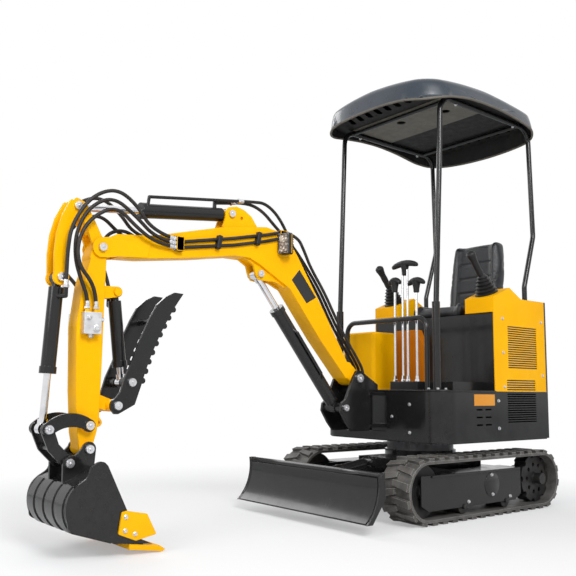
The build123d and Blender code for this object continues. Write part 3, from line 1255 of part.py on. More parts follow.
with BuildPart() as arm:
    arm_box = [
        (1955.0, 1140.0),
        (1990.0, 1000.0),
        (2007.0, 846.0),
        (1998.0, 600.0),
        (1985.0, 440.0),
        (1976.0, 400.0),
        (1920.0, 400.0),
        (1908.0, 445.0),
        (1900.0, 500.0),
        (1898.0, 750.0),
        (1898.0, 948.0),
        (1896.0, 1140.0),
    ]
    plate(arm_box, ARM_HALF_WIDTH, 2 * ARM_HALF_WIDTH)
    with BuildSketch(side(0)) as arm_hollow:
        with BuildLine():
            Polyline(
                (1940.0, 1090.0),
                (1984.0, 990.0),
                (2000.0, 846.0),
                (1991.0, 600.0),
                (1978.0, 510.0),
                (1908.0, 510.0),
                (1905.0, 950.0),
                (1903.0, 1090.0),
                close=True,
            )
        make_face()
    extrude(arm_hollow.sketch, amount=ARM_HALF_WIDTH - ARM_WALL, both=True, mode=Mode.SUBTRACT)
    strap([(BUCKET_PIVOT, 27.0), ((1948.0, 420.0), 30.0)], ARM_HALF_WIDTH, 2 * ARM_HALF_WIDTH)
    strap([(ARM_PIVOT, 34.0), ((1930.0, 1120.0), 34.0)], ARM_HALF_WIDTH, 2 * ARM_HALF_WIDTH)
    rear_prong = [
        (1905.0, 1180.0),
        (1950.0, 1262.0),
        (1990.0, 1330.0),
        (2030.0, 1345.0),
        (2056.0, 1322.0),
        (2040.0, 1290.0),
        (1985.0, 1240.0),
        (1950.0, 1150.0),
    ]
    front_prong = [
        (2000.0, 1325.0),
        (2052.0, 1335.0),
        (2084.0, 1268.0),
        (2102.0, 1198.0),
        (2108.0, 1119.0),
        (2104.0, 1030.0),
        (2050.0, 1024.0),
        (2054.0, 1105.0),
        (2046.0, 1213.0),
        (2027.0, 1262.0),
    ]
    for left in both_sides(ARM_HALF_WIDTH - LUG_PLATE, LUG_PLATE):
        plate(rear_prong, left, LUG_PLATE, radius=6.0)
        plate(front_prong, left, LUG_PLATE, radius=6.0)
        strap([(BUCKET_CYL_BASE, 31.0)], left, LUG_PLATE)
    top_tab = [(1960.0, 1210.0), (1990.0, 1262.0), (1978.0, 1268.0), (1948.0, 1218.0)]
    plate(top_tab, ARM_HALF_WIDTH, 2 * ARM_HALF_WIDTH)
    for inner, pin in ((ARM_HALF_WIDTH, ARM_CYL_PIN), (ARM_HALF_WIDTH, BUCKET_CYL_BASE)):
        pin_heads(pin, inner)
    cross_pin(BUCKET_CYL_BASE, PIN_RADIUS, ARM_HALF_WIDTH)
    for left in both_sides(EYE_HALF_WIDTH + SIDE_GAP, ARM_HALF_WIDTH - EYE_HALF_WIDTH - SIDE_GAP):
        strap([(BUCKET_CYL_BASE, 24.0)], left, ARM_HALF_WIDTH - EYE_HALF_WIDTH - SIDE_GAP)
    for left in both_sides(EYE_HALF_WIDTH + SIDE_GAP, LUG_PLATE):
        strap([((1905.0, 560.0), 26.0), (THUMB_PIVOT, 22.0)], left, LUG_PLATE)
        strap([((1905.0, 985.0), 26.0), (THUMB_CYL_BASE, 21.0)], left, LUG_PLATE)
    cross_pin(THUMB_CYL_BASE, PIN_RADIUS, EYE_HALF_WIDTH + SIDE_GAP + 1.0)
    pin_heads(THUMB_CYL_BASE, EYE_HALF_WIDTH + SIDE_GAP + LUG_PLATE, 8.0)
    cross_pin(THUMB_PIVOT, 24.0, THUMB_PLATE_Y - SIDE_GAP)
    cross_pin(THUMB_PIVOT, PIN_RADIUS + PIN_GAP, THUMB_PLATE_Y, Mode.SUBTRACT)
    strap([((1915.0, 500.0), 22.0), (STAY_HOLE, STAY_BORE)], 12.0, 24.0)
    cross_pin(STAY_HOLE, STAY_BORE / 2, 20.0, Mode.SUBTRACT)
    cross_pin(ROCKER_PIVOT, PIN_RADIUS, ROCKER_PLATE_Y + ROCKER_PLATE + 1.0)
    cross_pin(ROCKER_PIVOT, 22.0, ROCKER_PLATE_Y - SIDE_GAP)
    pin_heads(ROCKER_PIVOT, ROCKER_PLATE_Y + ROCKER_PLATE + SEAT_GAP)
    cross_pin(ARM_PIVOT, PIN_RADIUS + 2.0 + PIN_GAP, ARM_HALF_WIDTH + 1.0, Mode.SUBTRACT)
    cross_pin(BUCKET_PIVOT, 24.0, EAR_PLATE_Y - SIDE_GAP)
    cross_pin(BUCKET_PIVOT, PIN_RADIUS + PIN_GAP, EAR_PLATE_Y, Mode.SUBTRACT)
    for hand in (1, -1):
        block(VALVE_BLOCK, ARM_HALF_WIDTH - 1.0, VALVE_DEPTH + 1.0, hand)
        for stub_x in VALVE_STUBS:
            stub_foot = (stub_x, hand * STUB_Y, VALVE_BLOCK[3] - 2.0)
            bar(stub_foot, (stub_x, hand * STUB_Y, STUB_TOP), FITTING_RADIUS)
arm.part.label = "arm"
export_step(arm.part, "parts/arm.step")

ROCKER_TOP = [(1934.0, 486.0), (2030.0, 517.0), (2124.0, 476.0)]
ROCKER_UNDER = [(2094.0, 438.0), (2028.0, 466.0), (1954.0, 447.0)]
with BuildPart() as rocker:
    for left in both_sides(ROCKER_PLATE_Y, ROCKER_PLATE):
        with BuildSketch(side(left)) as arch:
            with BuildLine():
                ThreePointArc(*ROCKER_TOP)
                Line(ROCKER_TOP[2], ROCKER_UNDER[0])
                ThreePointArc(*ROCKER_UNDER)
                Line(ROCKER_UNDER[2], ROCKER_TOP[0])
            make_face()
            for centre in (ROCKER_PIVOT, LINK_PIN):
                with Locations(centre):
                    Circle(24.0)
            with Locations(ROCKER_PIVOT):
                Circle(PIN_RADIUS + PIN_GAP, mode=Mode.SUBTRACT)
        extrude(arch.sketch, amount=ROCKER_PLATE)
    pin_heads(LINK_PIN, ROCKER_PLATE_Y + ROCKER_PLATE)
rocker.part.label = "rocker"
export_step(rocker.part, "parts/rocker.step")

with BuildPart() as bucket_link:
    for left in both_sides(LINK_PLATE_Y, LINK_PLATE):
        strap([(LINK_PIN, 24.0), ((2080.0, 392.0), 22.0)], left, LINK_PLATE)
        strap([((2080.0, 392.0), 22.0), (BUCKET_LINK_PIN, 22.0)], left, LINK_PLATE)
    cross_pin((2078.0, 392.0), 14.0, LINK_PLATE_Y + 1.0)
    cross_pin(BUCKET_LINK_PIN, PIN_RADIUS + PIN_GAP, LINK_PLATE_Y + LINK_PLATE + 1.0, Mode.SUBTRACT)
bucket_link.part.label = "bucket_link"
export_step(bucket_link.part, "parts/bucket_link.step")

BUCKET_LIP = (1770.0, 38.0)
BUCKET_HEEL = (1890.0, 56.0)
BUCKET_BACK = [(2040.0, 106.0), (2076.0, 190.0), (2040.0, 262.0)]
BUCKET_TOP = (1925.0, 314.0)
EDGE_TIP = (1679.0, 8.0)
EDGE_THICKNESS = 20.0
with BuildPart() as bucket:
    half = BUCKET_HALF_WIDTH - BUCKET_SHEET
    with BuildSketch(side(0)) as wall:
        with BuildLine() as wall_line:
            Line(BUCKET_LIP, BUCKET_HEEL)
            Line(BUCKET_HEEL, BUCKET_BACK[0])
            ThreePointArc(*BUCKET_BACK)
            Line(BUCKET_BACK[2], BUCKET_TOP)
        trace(wall_line.line, line_width=BUCKET_SHEET)
    extrude(wall.sketch, amount=half + 0.5, both=True)
    cheek_outline = [
        (1735.0, 34.0),
        (1890.0, 52.0),
        (2046.0, 104.0),
        (2072.0, 140.0),
        (2080.0, 190.0),
        (2070.0, 235.0),
        (2046.0, 264.0),
        (1996.0, 296.0),
        (1992.0, 328.0),
        (1956.0, 347.0),
        (1926.0, 330.0),
        (1792.0, 60.0),
    ]
    for left in both_sides(half, BUCKET_SHEET):
        plate(cheek_outline, left, BUCKET_SHEET)
    for left in both_sides(EAR_PLATE_Y, EAR_PLATE):
        ear = [
            (1921.0, 378.0),
            (1948.0, 411.0),
            (1976.0, 386.0),
            (2000.0, 362.0),
            (2024.0, 361.0),
            (2048.0, 346.0),
            (2046.0, 258.0),
            (1926.0, 312.0),
        ]
        plate(ear, left, EAR_PLATE)
        strap([(BUCKET_PIVOT, 27.0)], left, EAR_PLATE)
        strap([(BUCKET_LINK_PIN, 24.0)], left, EAR_PLATE)
    cross_pin(BUCKET_PIVOT, PIN_RADIUS, EAR_PLATE_Y + 1.0)
    cross_pin(BUCKET_LINK_PIN, PIN_RADIUS, EAR_PLATE_Y + 1.0)
    pin_heads(BUCKET_PIVOT, EAR_PLATE_Y + EAR_PLATE)
    pin_heads(BUCKET_LINK_PIN, EAR_PLATE_Y + EAR_PLATE)
bucket.part.label = "bucket"
export_step(bucket.part, "parts/bucket.step")

with BuildPart() as bucket_cutters:
    slope = (BUCKET_HEEL[1] - BUCKET_LIP[1]) / (BUCKET_HEEL[0] - BUCKET_LIP[0])
    under_lip = BUCKET_LIP[1] - BUCKET_SHEET / 2 * hypot(1.0, slope) - SEAT_GAP
    edge_outline = [
        EDGE_TIP,
        (EDGE_TIP[0] + 14.0, 1.0),
        (BUCKET_LIP[0] + 60.0, under_lip + slope * 60.0 - EDGE_THICKNESS),
        (BUCKET_LIP[0] + 60.0, under_lip + slope * 60.0),
        (EDGE_TIP[0] + 24.0, under_lip - slope * (BUCKET_LIP[0] - EDGE_TIP[0] - 24.0)),
    ]
    plate(edge_outline, BUCKET_HALF_WIDTH, 2 * BUCKET_HALF_WIDTH)
    cutter = [
        (1868.0, 161.0),
        (1850.0, 165.0),
        (1765.0, 147.0),
        (1723.0, 69.0),
        (1809.0, 54.0),
        (1879.0, 84.0),
    ]
    for left in both_sides(BUCKET_HALF_WIDTH + SEAT_GAP, 8.0):
        plate(cutter, left, 8.0, radius=5.0)
bucket_cutters.part.label = "bucket_cutters"
export_step(bucket_cutters.part, "parts/bucket_cutters.step")

THUMB_FRONT = [(1571.0, 1002.0), (1613.0, 1004.0), (1653.0, 983.0), (1692.0, 948.0), (1721.0, 895.0)]
THUMB_FRONT += [(1761.0, 807.0), (1796.0, 714.0), (1822.0, 655.0), (1838.0, 600.0), (1872.0, 556.0)]
THUMB_FRONT += [(1876.0, 528.0), (1862.0, 512.0), (1846.0, 512.0), (1777.0, 548.0), (1752.0, 622.0)]
THUMB_REAR = [(1752.0, 622.0), (1694.0, 784.0), (1606.0, 950.0)]
SCALLOPS = 9
SCALLOP_RADIUS = 12.0
THUMB_TUBE = (1676.0, 886.0)
with BuildPart() as thumb:
    for left in both_sides(THUMB_PLATE_Y, THUMB_PLATE):
        with BuildSketch(side(left)) as claw:
            with BuildLine():
                Polyline(*THUMB_FRONT)
                rear_edge = ThreePointArc(*THUMB_REAR)
                Line(THUMB_REAR[2], THUMB_FRONT[0])
            make_face()
            for bite in range(SCALLOPS):
                with Locations(rear_edge @ ((bite + 0.5) / SCALLOPS)):
                    Circle(SCALLOP_RADIUS)
            with Locations(THUMB_PIVOT):
                Circle(30.0)
        extrude(claw.sketch, amount=THUMB_PLATE)
    cross_pin(THUMB_PIVOT, PIN_RADIUS, THUMB_PLATE_Y + 1.0)
    pin_heads(THUMB_PIVOT, THUMB_PLATE_Y + THUMB_PLATE)
    pin_heads(THUMB_CYL_PIN, THUMB_PLATE_Y + THUMB_PLATE)
    cross_pin(THUMB_TUBE, 13.0, THUMB_PLATE_Y + 1.0)
    for left in both_sides(EYE_HALF_WIDTH + SIDE_GAP + 4.0, THUMB_PLATE_Y - EYE_HALF_WIDTH - SIDE_GAP - 3.0):
        strap([(THUMB_CYL_PIN, 21.0)], left, THUMB_PLATE_Y - EYE_HALF_WIDTH - SIDE_GAP - 3.0)
thumb.part.label = "thumb"
export_step(thumb.part, "parts/thumb.step")

# Hoses


def hose(points):
    """A rubber hose along a route of points, each corner rounded to suit its runs."""
    spots = [Vector(*at(*point)) for point in points]
    runs = [end - start for start, end in zip(spots, spots[1:])]
    radii = []
    for before, after in zip(runs, runs[1:]):
        half_turn = radians(before.get_angle(after)) / 2
        radii.append(HOSE_BEND_SHARE * min(before.length, after.length) / tan(half_turn))
    with BuildLine() as route:
        FilletPolyline(*spots, radius=radii)
    with BuildSketch(Plane(route.line @ 0, z_dir=route.line % 0)) as section:
        Circle(HOSE_DIAMETER / 2)
    sweep(section.sketch, path=route.line)


def other_side(points):
    """The same route on the machine's other side."""
    return tuple((x, -y, z) for x, y, z in points)


def with_bundle(points, lane):
    """A route that goes on down the boom's back, in one lane of the bundle."""
    return tuple(points) + tuple((x, lane, z) for x, z in BUNDLE)


HOSES = {
    "hose_bucket_left": BUCKET_HOSE,
    "hose_bucket_right": other_side(BUCKET_HOSE),
    "hose_valve_left": VALVE_HOSE,
    "hose_valve_right": other_side(VALVE_HOSE),
    "hose_return": RETURN_HOSE,
    "hose_thumb": THUMB_HOSE,
    "hose_arm_far": with_bundle(ARM_HOSES[0], BUNDLE_Y[0]),
    "hose_arm_near": with_bundle(ARM_HOSES[1], BUNDLE_Y[1]),
    "hose_side": with_bundle(SIDE_HOSE, BUNDLE_Y[2]),
}
for name, points in HOSES.items():
    with BuildPart() as rubber_hose:
        hose(points)
    rubber_hose.part.label = name
    export_step(rubber_hose.part, f"parts/{name}.step")
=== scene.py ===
import json
from math import atan2, cos, hypot, pi, radians, sin

import bpy
from mathutils import Matrix, Vector


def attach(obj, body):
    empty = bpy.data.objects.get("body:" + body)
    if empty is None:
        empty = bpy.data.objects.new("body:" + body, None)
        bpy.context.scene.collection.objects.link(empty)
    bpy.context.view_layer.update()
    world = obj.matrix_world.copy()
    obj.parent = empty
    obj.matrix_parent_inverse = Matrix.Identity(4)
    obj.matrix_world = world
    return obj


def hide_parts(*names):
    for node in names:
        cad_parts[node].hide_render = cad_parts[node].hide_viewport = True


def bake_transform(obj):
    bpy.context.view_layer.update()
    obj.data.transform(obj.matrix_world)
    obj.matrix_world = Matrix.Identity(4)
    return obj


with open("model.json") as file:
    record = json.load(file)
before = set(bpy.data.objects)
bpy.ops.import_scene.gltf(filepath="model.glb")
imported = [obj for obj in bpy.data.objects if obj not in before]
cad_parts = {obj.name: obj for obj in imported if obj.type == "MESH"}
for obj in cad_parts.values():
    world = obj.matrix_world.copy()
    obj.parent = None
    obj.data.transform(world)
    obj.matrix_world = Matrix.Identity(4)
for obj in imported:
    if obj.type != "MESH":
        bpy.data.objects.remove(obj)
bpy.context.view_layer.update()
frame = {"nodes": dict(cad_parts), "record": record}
nodes = frame["nodes"]
scene = bpy.context.scene
bpy.ops.object.select_all(action="DESELECT")

# The camera's place: a few steps off the left front corner, the lens at chest height and
# tipped up a little. Lengths along the machine are given from the slew ring's centre, which stands
# at slew_x in the part's frame.
slew_x = -0.750
look_yaw, look_pitch, look_roll = radians(-129.037), radians(7.22), radians(0.576)
forward = Vector((cos(look_pitch) * cos(look_yaw), cos(look_pitch) * sin(look_yaw), sin(look_pitch)))
level_right = Vector((sin(look_yaw), -cos(look_yaw), 0))
level_up = level_right.cross(forward)
tipped_right = level_right * cos(look_roll) + level_up * sin(look_roll)
tipped_up = level_up * cos(look_roll) - level_right * sin(look_roll)
aimed = Matrix((tipped_right, tipped_up, -forward)).transposed().to_4x4()
lens = bpy.data.cameras.new("camera")
lens.sensor_fit = "HORIZONTAL"
lens.sensor_width = 36.0
photo_width, focal_pixels = 576, 743.5
lens.lens = lens.sensor_width * focal_pixels / photo_width
lens.shift_x = -0.0002
lens.shift_y = 0.011
lens.clip_end = 60
camera = bpy.data.objects.new("camera", lens)
camera.matrix_world = Matrix.Translation((3.1646 + slew_x, 2.7472, 0.6164)) @ aimed
scene.collection.objects.link(camera)
scene.camera = camera
scene.view_settings.view_transform = "Standard"

# The studio: a pale floor that keeps the machine's shadow, a white surround for the camera and
# for what metal and paint reflect, and three large soft lamps.
world = bpy.data.worlds.new("studio")
scene.world = world
world.use_nodes = True
room = world.node_tree
room.nodes.clear()
seen = room.nodes.new("ShaderNodeLightPath")
straight = room.nodes.new("ShaderNodeMath")
straight.operation = "MAXIMUM"
straight_or_glass = room.nodes.new("ShaderNodeMath")
straight_or_glass.operation = "MAXIMUM"
fill = room.nodes.new("ShaderNodeBackground")
fill.inputs["Color"].default_value = (0.86, 0.89, 0.93, 1)
fill.inputs["Strength"].default_value = 0.5
backdrop = room.nodes.new("ShaderNodeBackground")
backdrop.inputs["Color"].default_value = (1, 1, 1, 1)
backdrop.inputs["Strength"].default_value = 1.0
choose = room.nodes.new("ShaderNodeMixShader")
out = room.nodes.new("ShaderNodeOutputWorld")
room.links.new(seen.outputs["Is Camera Ray"], straight.inputs[0])
room.links.new(seen.outputs["Is Glossy Ray"], straight.inputs[1])
room.links.new(straight.outputs[0], straight_or_glass.inputs[0])
room.links.new(seen.outputs["Is Transmission Ray"], straight_or_glass.inputs[1])
room.links.new(straight_or_glass.outputs[0], choose.inputs["Fac"])
room.links.new(fill.outputs[0], choose.inputs[1])
room.links.new(backdrop.outputs[0], choose.inputs[2])
room.links.new(choose.outputs[0], out.inputs["Surface"])
for name, place, aim, size, power in (
    ("key_lamp", (1.6, 4.6, 4.0), (-0.2, 0, 0.9), 2.4, 230),
    ("front_lamp", (4.6, 0.6, 2.6), (0, 0, 1.0), 2.4, 70),
    ("far_lamp", (0.2, -4.4, 3.6), (0, 0, 1.0), 2.8, 70),
):
    lamp = bpy.data.lights.new(name, "AREA")
    lamp.shape = "DISK"
    lamp.size = size
    lamp.energy = power
    stand = bpy.data.objects.new(name, lamp)
    turn = (Vector(aim) - Vector(place)).to_track_quat("-Z", "Y").to_matrix().to_4x4()
    stand.matrix_world = Matrix.Translation(place) @ turn
    scene.collection.objects.link(stand)


def new_material(name):
    """An empty node material with its Principled shader, and a place to read positions from."""
    material = bpy.data.materials.new(name)
    material.use_nodes = True
    tree = material.node_tree
    shader = tree.nodes["Principled BSDF"]
    place = tree.nodes.new("ShaderNodeTexCoord")
    return material, tree, shader, place.outputs["Object"]


def between(tree, value, low, high, out_low, out_high):
    """Stretches a pattern's value from one range to another."""
    span = tree.nodes.new("ShaderNodeMapRange")
    for socket, number in (("From Min", low), ("From Max", high), ("To Min", out_low), ("To Max", out_high)):
        span.inputs[socket].default_value = number
    tree.links.new(value, span.inputs["Value"])
    return span.outputs["Result"]


floor_material, tree, shader, place = new_material("studio_floor")
shader.inputs["Base Color"].default_value = (0.86, 0.86, 0.86, 1)
shader.inputs["Roughness"].default_value = 0.95
shader.inputs["Specular IOR Level"].default_value = 0.1
reach = tree.nodes.new("ShaderNodeVectorMath")
reach.operation = "LENGTH"
tree.links.new(place, reach.inputs[0])
white = tree.nodes.new("ShaderNodeEmission")
watched = tree.nodes.new("ShaderNodeLightPath")
far_out = tree.nodes.new("ShaderNodeMath")
far_out.operation = "MULTIPLY"
tree.links.new(watched.outputs["Is Camera Ray"], far_out.inputs[0])
tree.links.new(between(tree, reach.outputs["Value"], 1.3, 2.6, 0.35, 1.0), far_out.inputs[1])
fade = tree.nodes.new("ShaderNodeMixShader")
tree.links.new(far_out.outputs[0], fade.inputs["Fac"])
tree.links.new(shader.outputs[0], fade.inputs[1])
tree.links.new(white.outputs[0], fade.inputs[2])
tree.links.new(fade.outputs[0], tree.nodes["Material Output"].inputs["Surface"])
bpy.ops.mesh.primitive_plane_add(size=40, location=(0, 0, -0.001))
floor = bpy.context.object
floor.name = "studio_floor"
floor.data.materials.append(floor_material)


# Hydraulic hoses: two-wire rubber hose, 15 mm over its cover. Six arch over the arm's hinge and
# three run down the boom's back to the swing bracket. Each end is crimped in a plated ferrule and
# held by its union nut.
def cloud(tree, place, scale, detail=4.0, rough=0.55):
    """A soft random pattern."""
    noise = tree.nodes.new("ShaderNodeTexNoise")
    noise.inputs["Scale"].default_value = scale
    noise.inputs["Detail"].default_value = detail
    noise.inputs["Roughness"].default_value = rough
    tree.links.new(place, noise.inputs["Vector"])
    return noise.outputs["Fac"]


def steps(tree, value, *stops):
    """Maps a pattern's value to colours, each stop as (position, colour)."""
    ramp = tree.nodes.new("ShaderNodeValToRGB")
    while len(ramp.color_ramp.elements) < len(stops):
        ramp.color_ramp.elements.new(0.5)
    for element, (position, colour) in zip(ramp.color_ramp.elements, stops):
        element.position = position
        element.color = (*colour, 1)
    tree.links.new(value, ramp.inputs["Fac"])
    return ramp.outputs["Color"]


def raise_by(tree, shader, height, strength, distance):
    """Bumps the surface by a pattern."""
    bump = tree.nodes.new("ShaderNodeBump")
    bump.inputs["Strength"].default_value = strength
    bump.inputs["Distance"].default_value = distance
    tree.links.new(height, bump.inputs["Height"])
    tree.links.new(bump.outputs["Normal"], shader.inputs["Normal"])
    return bump


def bright_metal(name, colour, rough, scratches=0.08):
    """Polished or plated steel, faintly clouded and finely scratched."""
    material, tree, shader, place = new_material(name)
    shader.inputs["Metallic"].default_value = 1.0
    dim = tuple(c * 0.8 for c in colour)
    tint = steps(tree, cloud(tree, place, 14.0, 6.0), (0.3, dim), (0.7, colour))
    tree.links.new(tint, shader.inputs["Base Color"])
    dulled = between(tree, cloud(tree, place, 45.0, 6.0), 0.3, 0.7, rough * 0.7, rough * 1.6)
    tree.links.new(dulled, shader.inputs["Roughness"])
    raise_by(tree, shader, cloud(tree, place, 700.0, 2.0), scratches, 0.0005)
    return material


zinc = bright_metal("zinc_plate", (0.74, 0.74, 0.76), 0.26)
rubber, tree, shader, place = new_material("hose_rubber")
shader.inputs["Specular IOR Level"].default_value = 0.3
cover = steps(tree, cloud(tree, place, 24.0, 7.0, 0.6), (0.35, (0.014, 0.012, 0.011)),
              (0.75, (0.034, 0.030, 0.027)))
tree.links.new(cover, shader.inputs["Base Color"])
tree.links.new(between(tree, cloud(tree, place, 60.0, 4.0), 0.3, 0.7, 0.42, 0.62), shader.inputs["Roughness"])
raise_by(tree, shader, cloud(tree, place, 900.0, 3.0), 0.12, 0.0008)


def turned(name, rings, sides=28):
    """A turned part along Z: rings as (height, radius), each pushed out from the one before."""
    bpy.ops.object.select_all(action="DESELECT")
    bpy.ops.mesh.primitive_circle_add(vertices=sides, radius=rings[0][1], fill_type="NGON")
    piece = bpy.context.object
    piece.name = name
    bpy.ops.object.mode_set(mode="EDIT")
    bpy.ops.mesh.select_all(action="SELECT")
    bpy.ops.transform.translate(value=(0, 0, rings[0][0]))
    for (low, inner), (high, outer) in zip(rings, rings[1:]):
        bpy.ops.mesh.extrude_region_move(TRANSFORM_OT_translate={"value": (0, 0, high - low)})
        bpy.ops.transform.resize(value=(outer / inner, outer / inner, 1))
    bpy.ops.mesh.select_all(action="SELECT")
    bpy.ops.mesh.normals_make_consistent(inside=False)
    bpy.ops.object.mode_set(mode="OBJECT")
    bpy.ops.object.shade_smooth_by_angle(angle=radians(35))
    return piece


def facing(place, aim):
    """Where a part's foot stands, and the way that it points."""
    return Matrix.Translation(place) @ Vector(aim).to_track_quat("Z", "Y").to_matrix().to_4x4()


def together(name, parts):
    """Joins parts to one piece."""
    bpy.ops.object.select_all(action="DESELECT")
    for part in parts:
        part.select_set(True)
    bpy.context.view_layer.objects.active = parts[0]
    if len(parts) > 1:
        bpy.ops.object.join()
    parts[0].name = name
    return parts[0]


def set_out(model, name, spots, body, material):
    """Sets a copy of a model at each spot, as one piece that rides on a body."""
    parts = []
    for spot in spots:
        part = bpy.data.objects.new(name, model.data.copy())
        part.data.transform(spot)
        scene.collection.objects.link(part)
        parts.append(part)
    piece = together(name, parts)
    dress(piece, material, body)
    return piece


def dress(piece, material, body):
    """Gives a piece its one material and fixes it to a body."""
    piece.data.materials.clear()
    piece.data.materials.append(material)
    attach(piece, body)


def put_away(model):
    bpy.data.objects.remove(model)


def drawn_line(name, places, kind="POLY"):
    """A curve drawn along a row of places."""
    curve = bpy.data.curves.new(name, "CURVE")
    curve.dimensions = "3D"
    line = curve.splines.new(kind)
    line.points.add(len(places) - 1)
    for point, place in zip(line.points, places):
        point.co = (*place, 1)
    holder = bpy.data.objects.new(name + "_line", curve)
    scene.collection.objects.link(holder)
    return holder


def as_mesh(holder):
    """A drawn line's shape as it stands now."""
    bpy.context.view_layer.update()
    return bpy.data.meshes.new_from_object(holder.evaluated_get(bpy.context.evaluated_depsgraph_get()))


def thicken(holder, name, radius, rounding=3):
    """Turns a drawn line to a smooth round tube."""
    holder.data.bevel_depth = radius
    holder.data.bevel_resolution = rounding
    mesh = as_mesh(holder)
    bpy.data.objects.remove(holder)
    for face in mesh.polygons:
        face.use_smooth = True
    piece = bpy.data.objects.new(name, mesh)
    scene.collection.objects.link(piece)
    return piece


crimp = turned("crimp", [(0.002, 0.0089), (0.0028, 0.0096), (0.009, 0.0096), (0.0098, 0.0088), (0.0112, 0.0088),
                         (0.012, 0.0096), (0.0168, 0.0096), (0.0176, 0.0088), (0.019, 0.0088), (0.0198, 0.0096),
                         (0.030, 0.0096), (0.0312, 0.0082)])
nut = turned("nut", [(0.0002, 0.0118), (0.001, 0.0127), (0.0095, 0.0127), (0.0105, 0.0118),
                     (0.0108, 0.0096)], 6)
hose_ends = together("hose_ends", [crimp, nut])
clamp_y, valve_rear_x, valve_front_x, port_y, port_top = 0.060, 1.940, 1.975, 0.058, 0.9123
bucket_route = [(1.599, clamp_y, 1.236), (1.715, 0.074, 1.250), (1.795, 0.080, 1.350), (1.888, 0.080, 1.400),
                (1.993, 0.080, 1.345), (2.062, 0.080, 1.225), (2.071, 0.076, 1.130), (2.066, 0.062, 1.055),
                (2.066, 0.062, 0.986)]
valve_route = [(1.598, clamp_y, 1.200), (1.690, 0.072, 1.203), (1.785, 0.080, 1.250), (1.882, 0.080, 1.330),
               (1.990, 0.080, 1.262), (2.036, 0.080, 1.165), (2.028, 0.080, 1.075), (1.966, 0.070, 1.016),
               (valve_rear_x, port_y, 0.952), (valve_rear_x, port_y, port_top)]
return_route = [(1.598, clamp_y, 1.218), (1.692, 0.060, 1.226), (1.785, 0.060, 1.305), (1.885, 0.060, 1.368),
                (1.980, 0.060, 1.318), (2.034, 0.060, 1.215), (2.036, 0.060, 1.105), (2.004, 0.060, 1.015),
                (valve_front_x, port_y, 0.956), (valve_front_x, port_y, port_top)]
thumb_route = [(1.598, -clamp_y, 1.218), (1.690, -0.066, 1.226), (1.770, -0.072, 1.275), (1.856, -0.072, 1.240),
               (1.876, -0.066, 1.140), (1.850, -0.060, 1.070), (1.835, -0.054, 1.012), (1.835, -0.054, 0.974)]
boom_back = [(0.820, 1.205), (0.726, 1.088), (0.647, 0.960), (0.563, 0.845), (0.500, 0.768), (0.457, 0.706),
             (0.456, 0.654)]
far_route = [(1.262, 0.030, 1.461), (1.180, 0.030, 1.4715), (1.085, 0.010, 1.484), (0.985, -0.008, 1.430),
             (0.900, -0.020, 1.312)] + [(x, -0.026, z) for x, z in boom_back]
near_route = [(1.290, 0.006, 1.453), (1.200, 0.004, 1.470), (1.104, 0.002, 1.450), (1.015, 0.000, 1.378),
              (0.912, 0.002, 1.302)] + [(x, 0.000, z) for x, z in boom_back]
side_route = [(0.999, 0.058, 1.345), (0.930, 0.058, 1.339), (0.872, 0.042, 1.275)] + [
    (x, 0.026, z) for x, z in boom_back]
over_hinge = ("boom", "arm", (1.66, 0, 1.23), (2.03, 0, 1.06))
over_thumb = ("boom", "arm", (1.66, 0, 1.23), (1.85, 0, 1.06))
over_foot = ("boom", "swing", (0.60, 0, 0.90), (0.47, 0, 0.69))
for name, route, length, crossing in (
    ("hose_bucket_left", bucket_route, 0.825, over_hinge),
    ("hose_bucket_right", [(x, -y, z) for x, y, z in bucket_route], 0.825, over_hinge),
    ("hose_valve_left", valve_route, 0.816, over_hinge),
    ("hose_valve_right", [(x, -y, z) for x, y, z in valve_route], 0.816, over_hinge),
    ("hose_return", return_route, 0.851, over_hinge),
    ("hose_thumb", thumb_route, 0.535, over_thumb),
    ("hose_arm_far", far_route, 1.236, over_foot),
    ("hose_arm_near", near_route, 1.229, over_foot),
    ("hose_side", side_route, 0.907, over_foot),
):
    holder = drawn_line(name, [(x + slew_x, y, z) for x, y, z in route], "NURBS")
    holder.data.resolution_u = 10
    line = holder.data.splines[0]
    line.order_u = 3
    line.use_endpoint_u = True
    path = [vertex.co.copy() for vertex in as_mesh(holder).vertices]
    holder.data.use_fill_caps = True
    hose = thicken(holder, name + "_tube", 0.0075, 4)
    hose.data.materials.clear()
    hose.data.materials.append(rubber)
    start_body, end_body, leaves, arrives = crossing
    first = set_out(hose_ends, name + "_first_end", [facing(path[0], path[1] - path[0])], start_body, zinc)
    last = set_out(hose_ends, name + "_last_end", [facing(path[-1], path[-2] - path[-1])], end_body, zinc)
    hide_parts(name)
    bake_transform(hose)
put_away(hose_ends)


# Painted steel: two-pack gloss over pressed and welded plate, its edges softened by the paint, with
# faint orange peel, dust low on the machine and dull patches here and there.
def soft_edges(tree, radius):
    """Rounds a hard edge in the shading, as thick paint does."""
    edge = tree.nodes.new("ShaderNodeBevel")
    edge.samples = 4
    edge.inputs["Radius"].default_value = radius
    return edge.outputs["Normal"]


def blend_colour(tree, amount, under, over):
    """Lays one colour over another by a pattern."""
    mix = tree.nodes.new("ShaderNodeMix")
    mix.data_type = "RGBA"
    tree.links.new(amount, mix.inputs["Factor"])
    for socket, colour in ((mix.inputs[6], under), (mix.inputs[7], over)):
        if isinstance(colour, tuple):
            socket.default_value = (*colour, 1)
        else:
            tree.links.new(colour, socket)
    return mix.outputs[2]


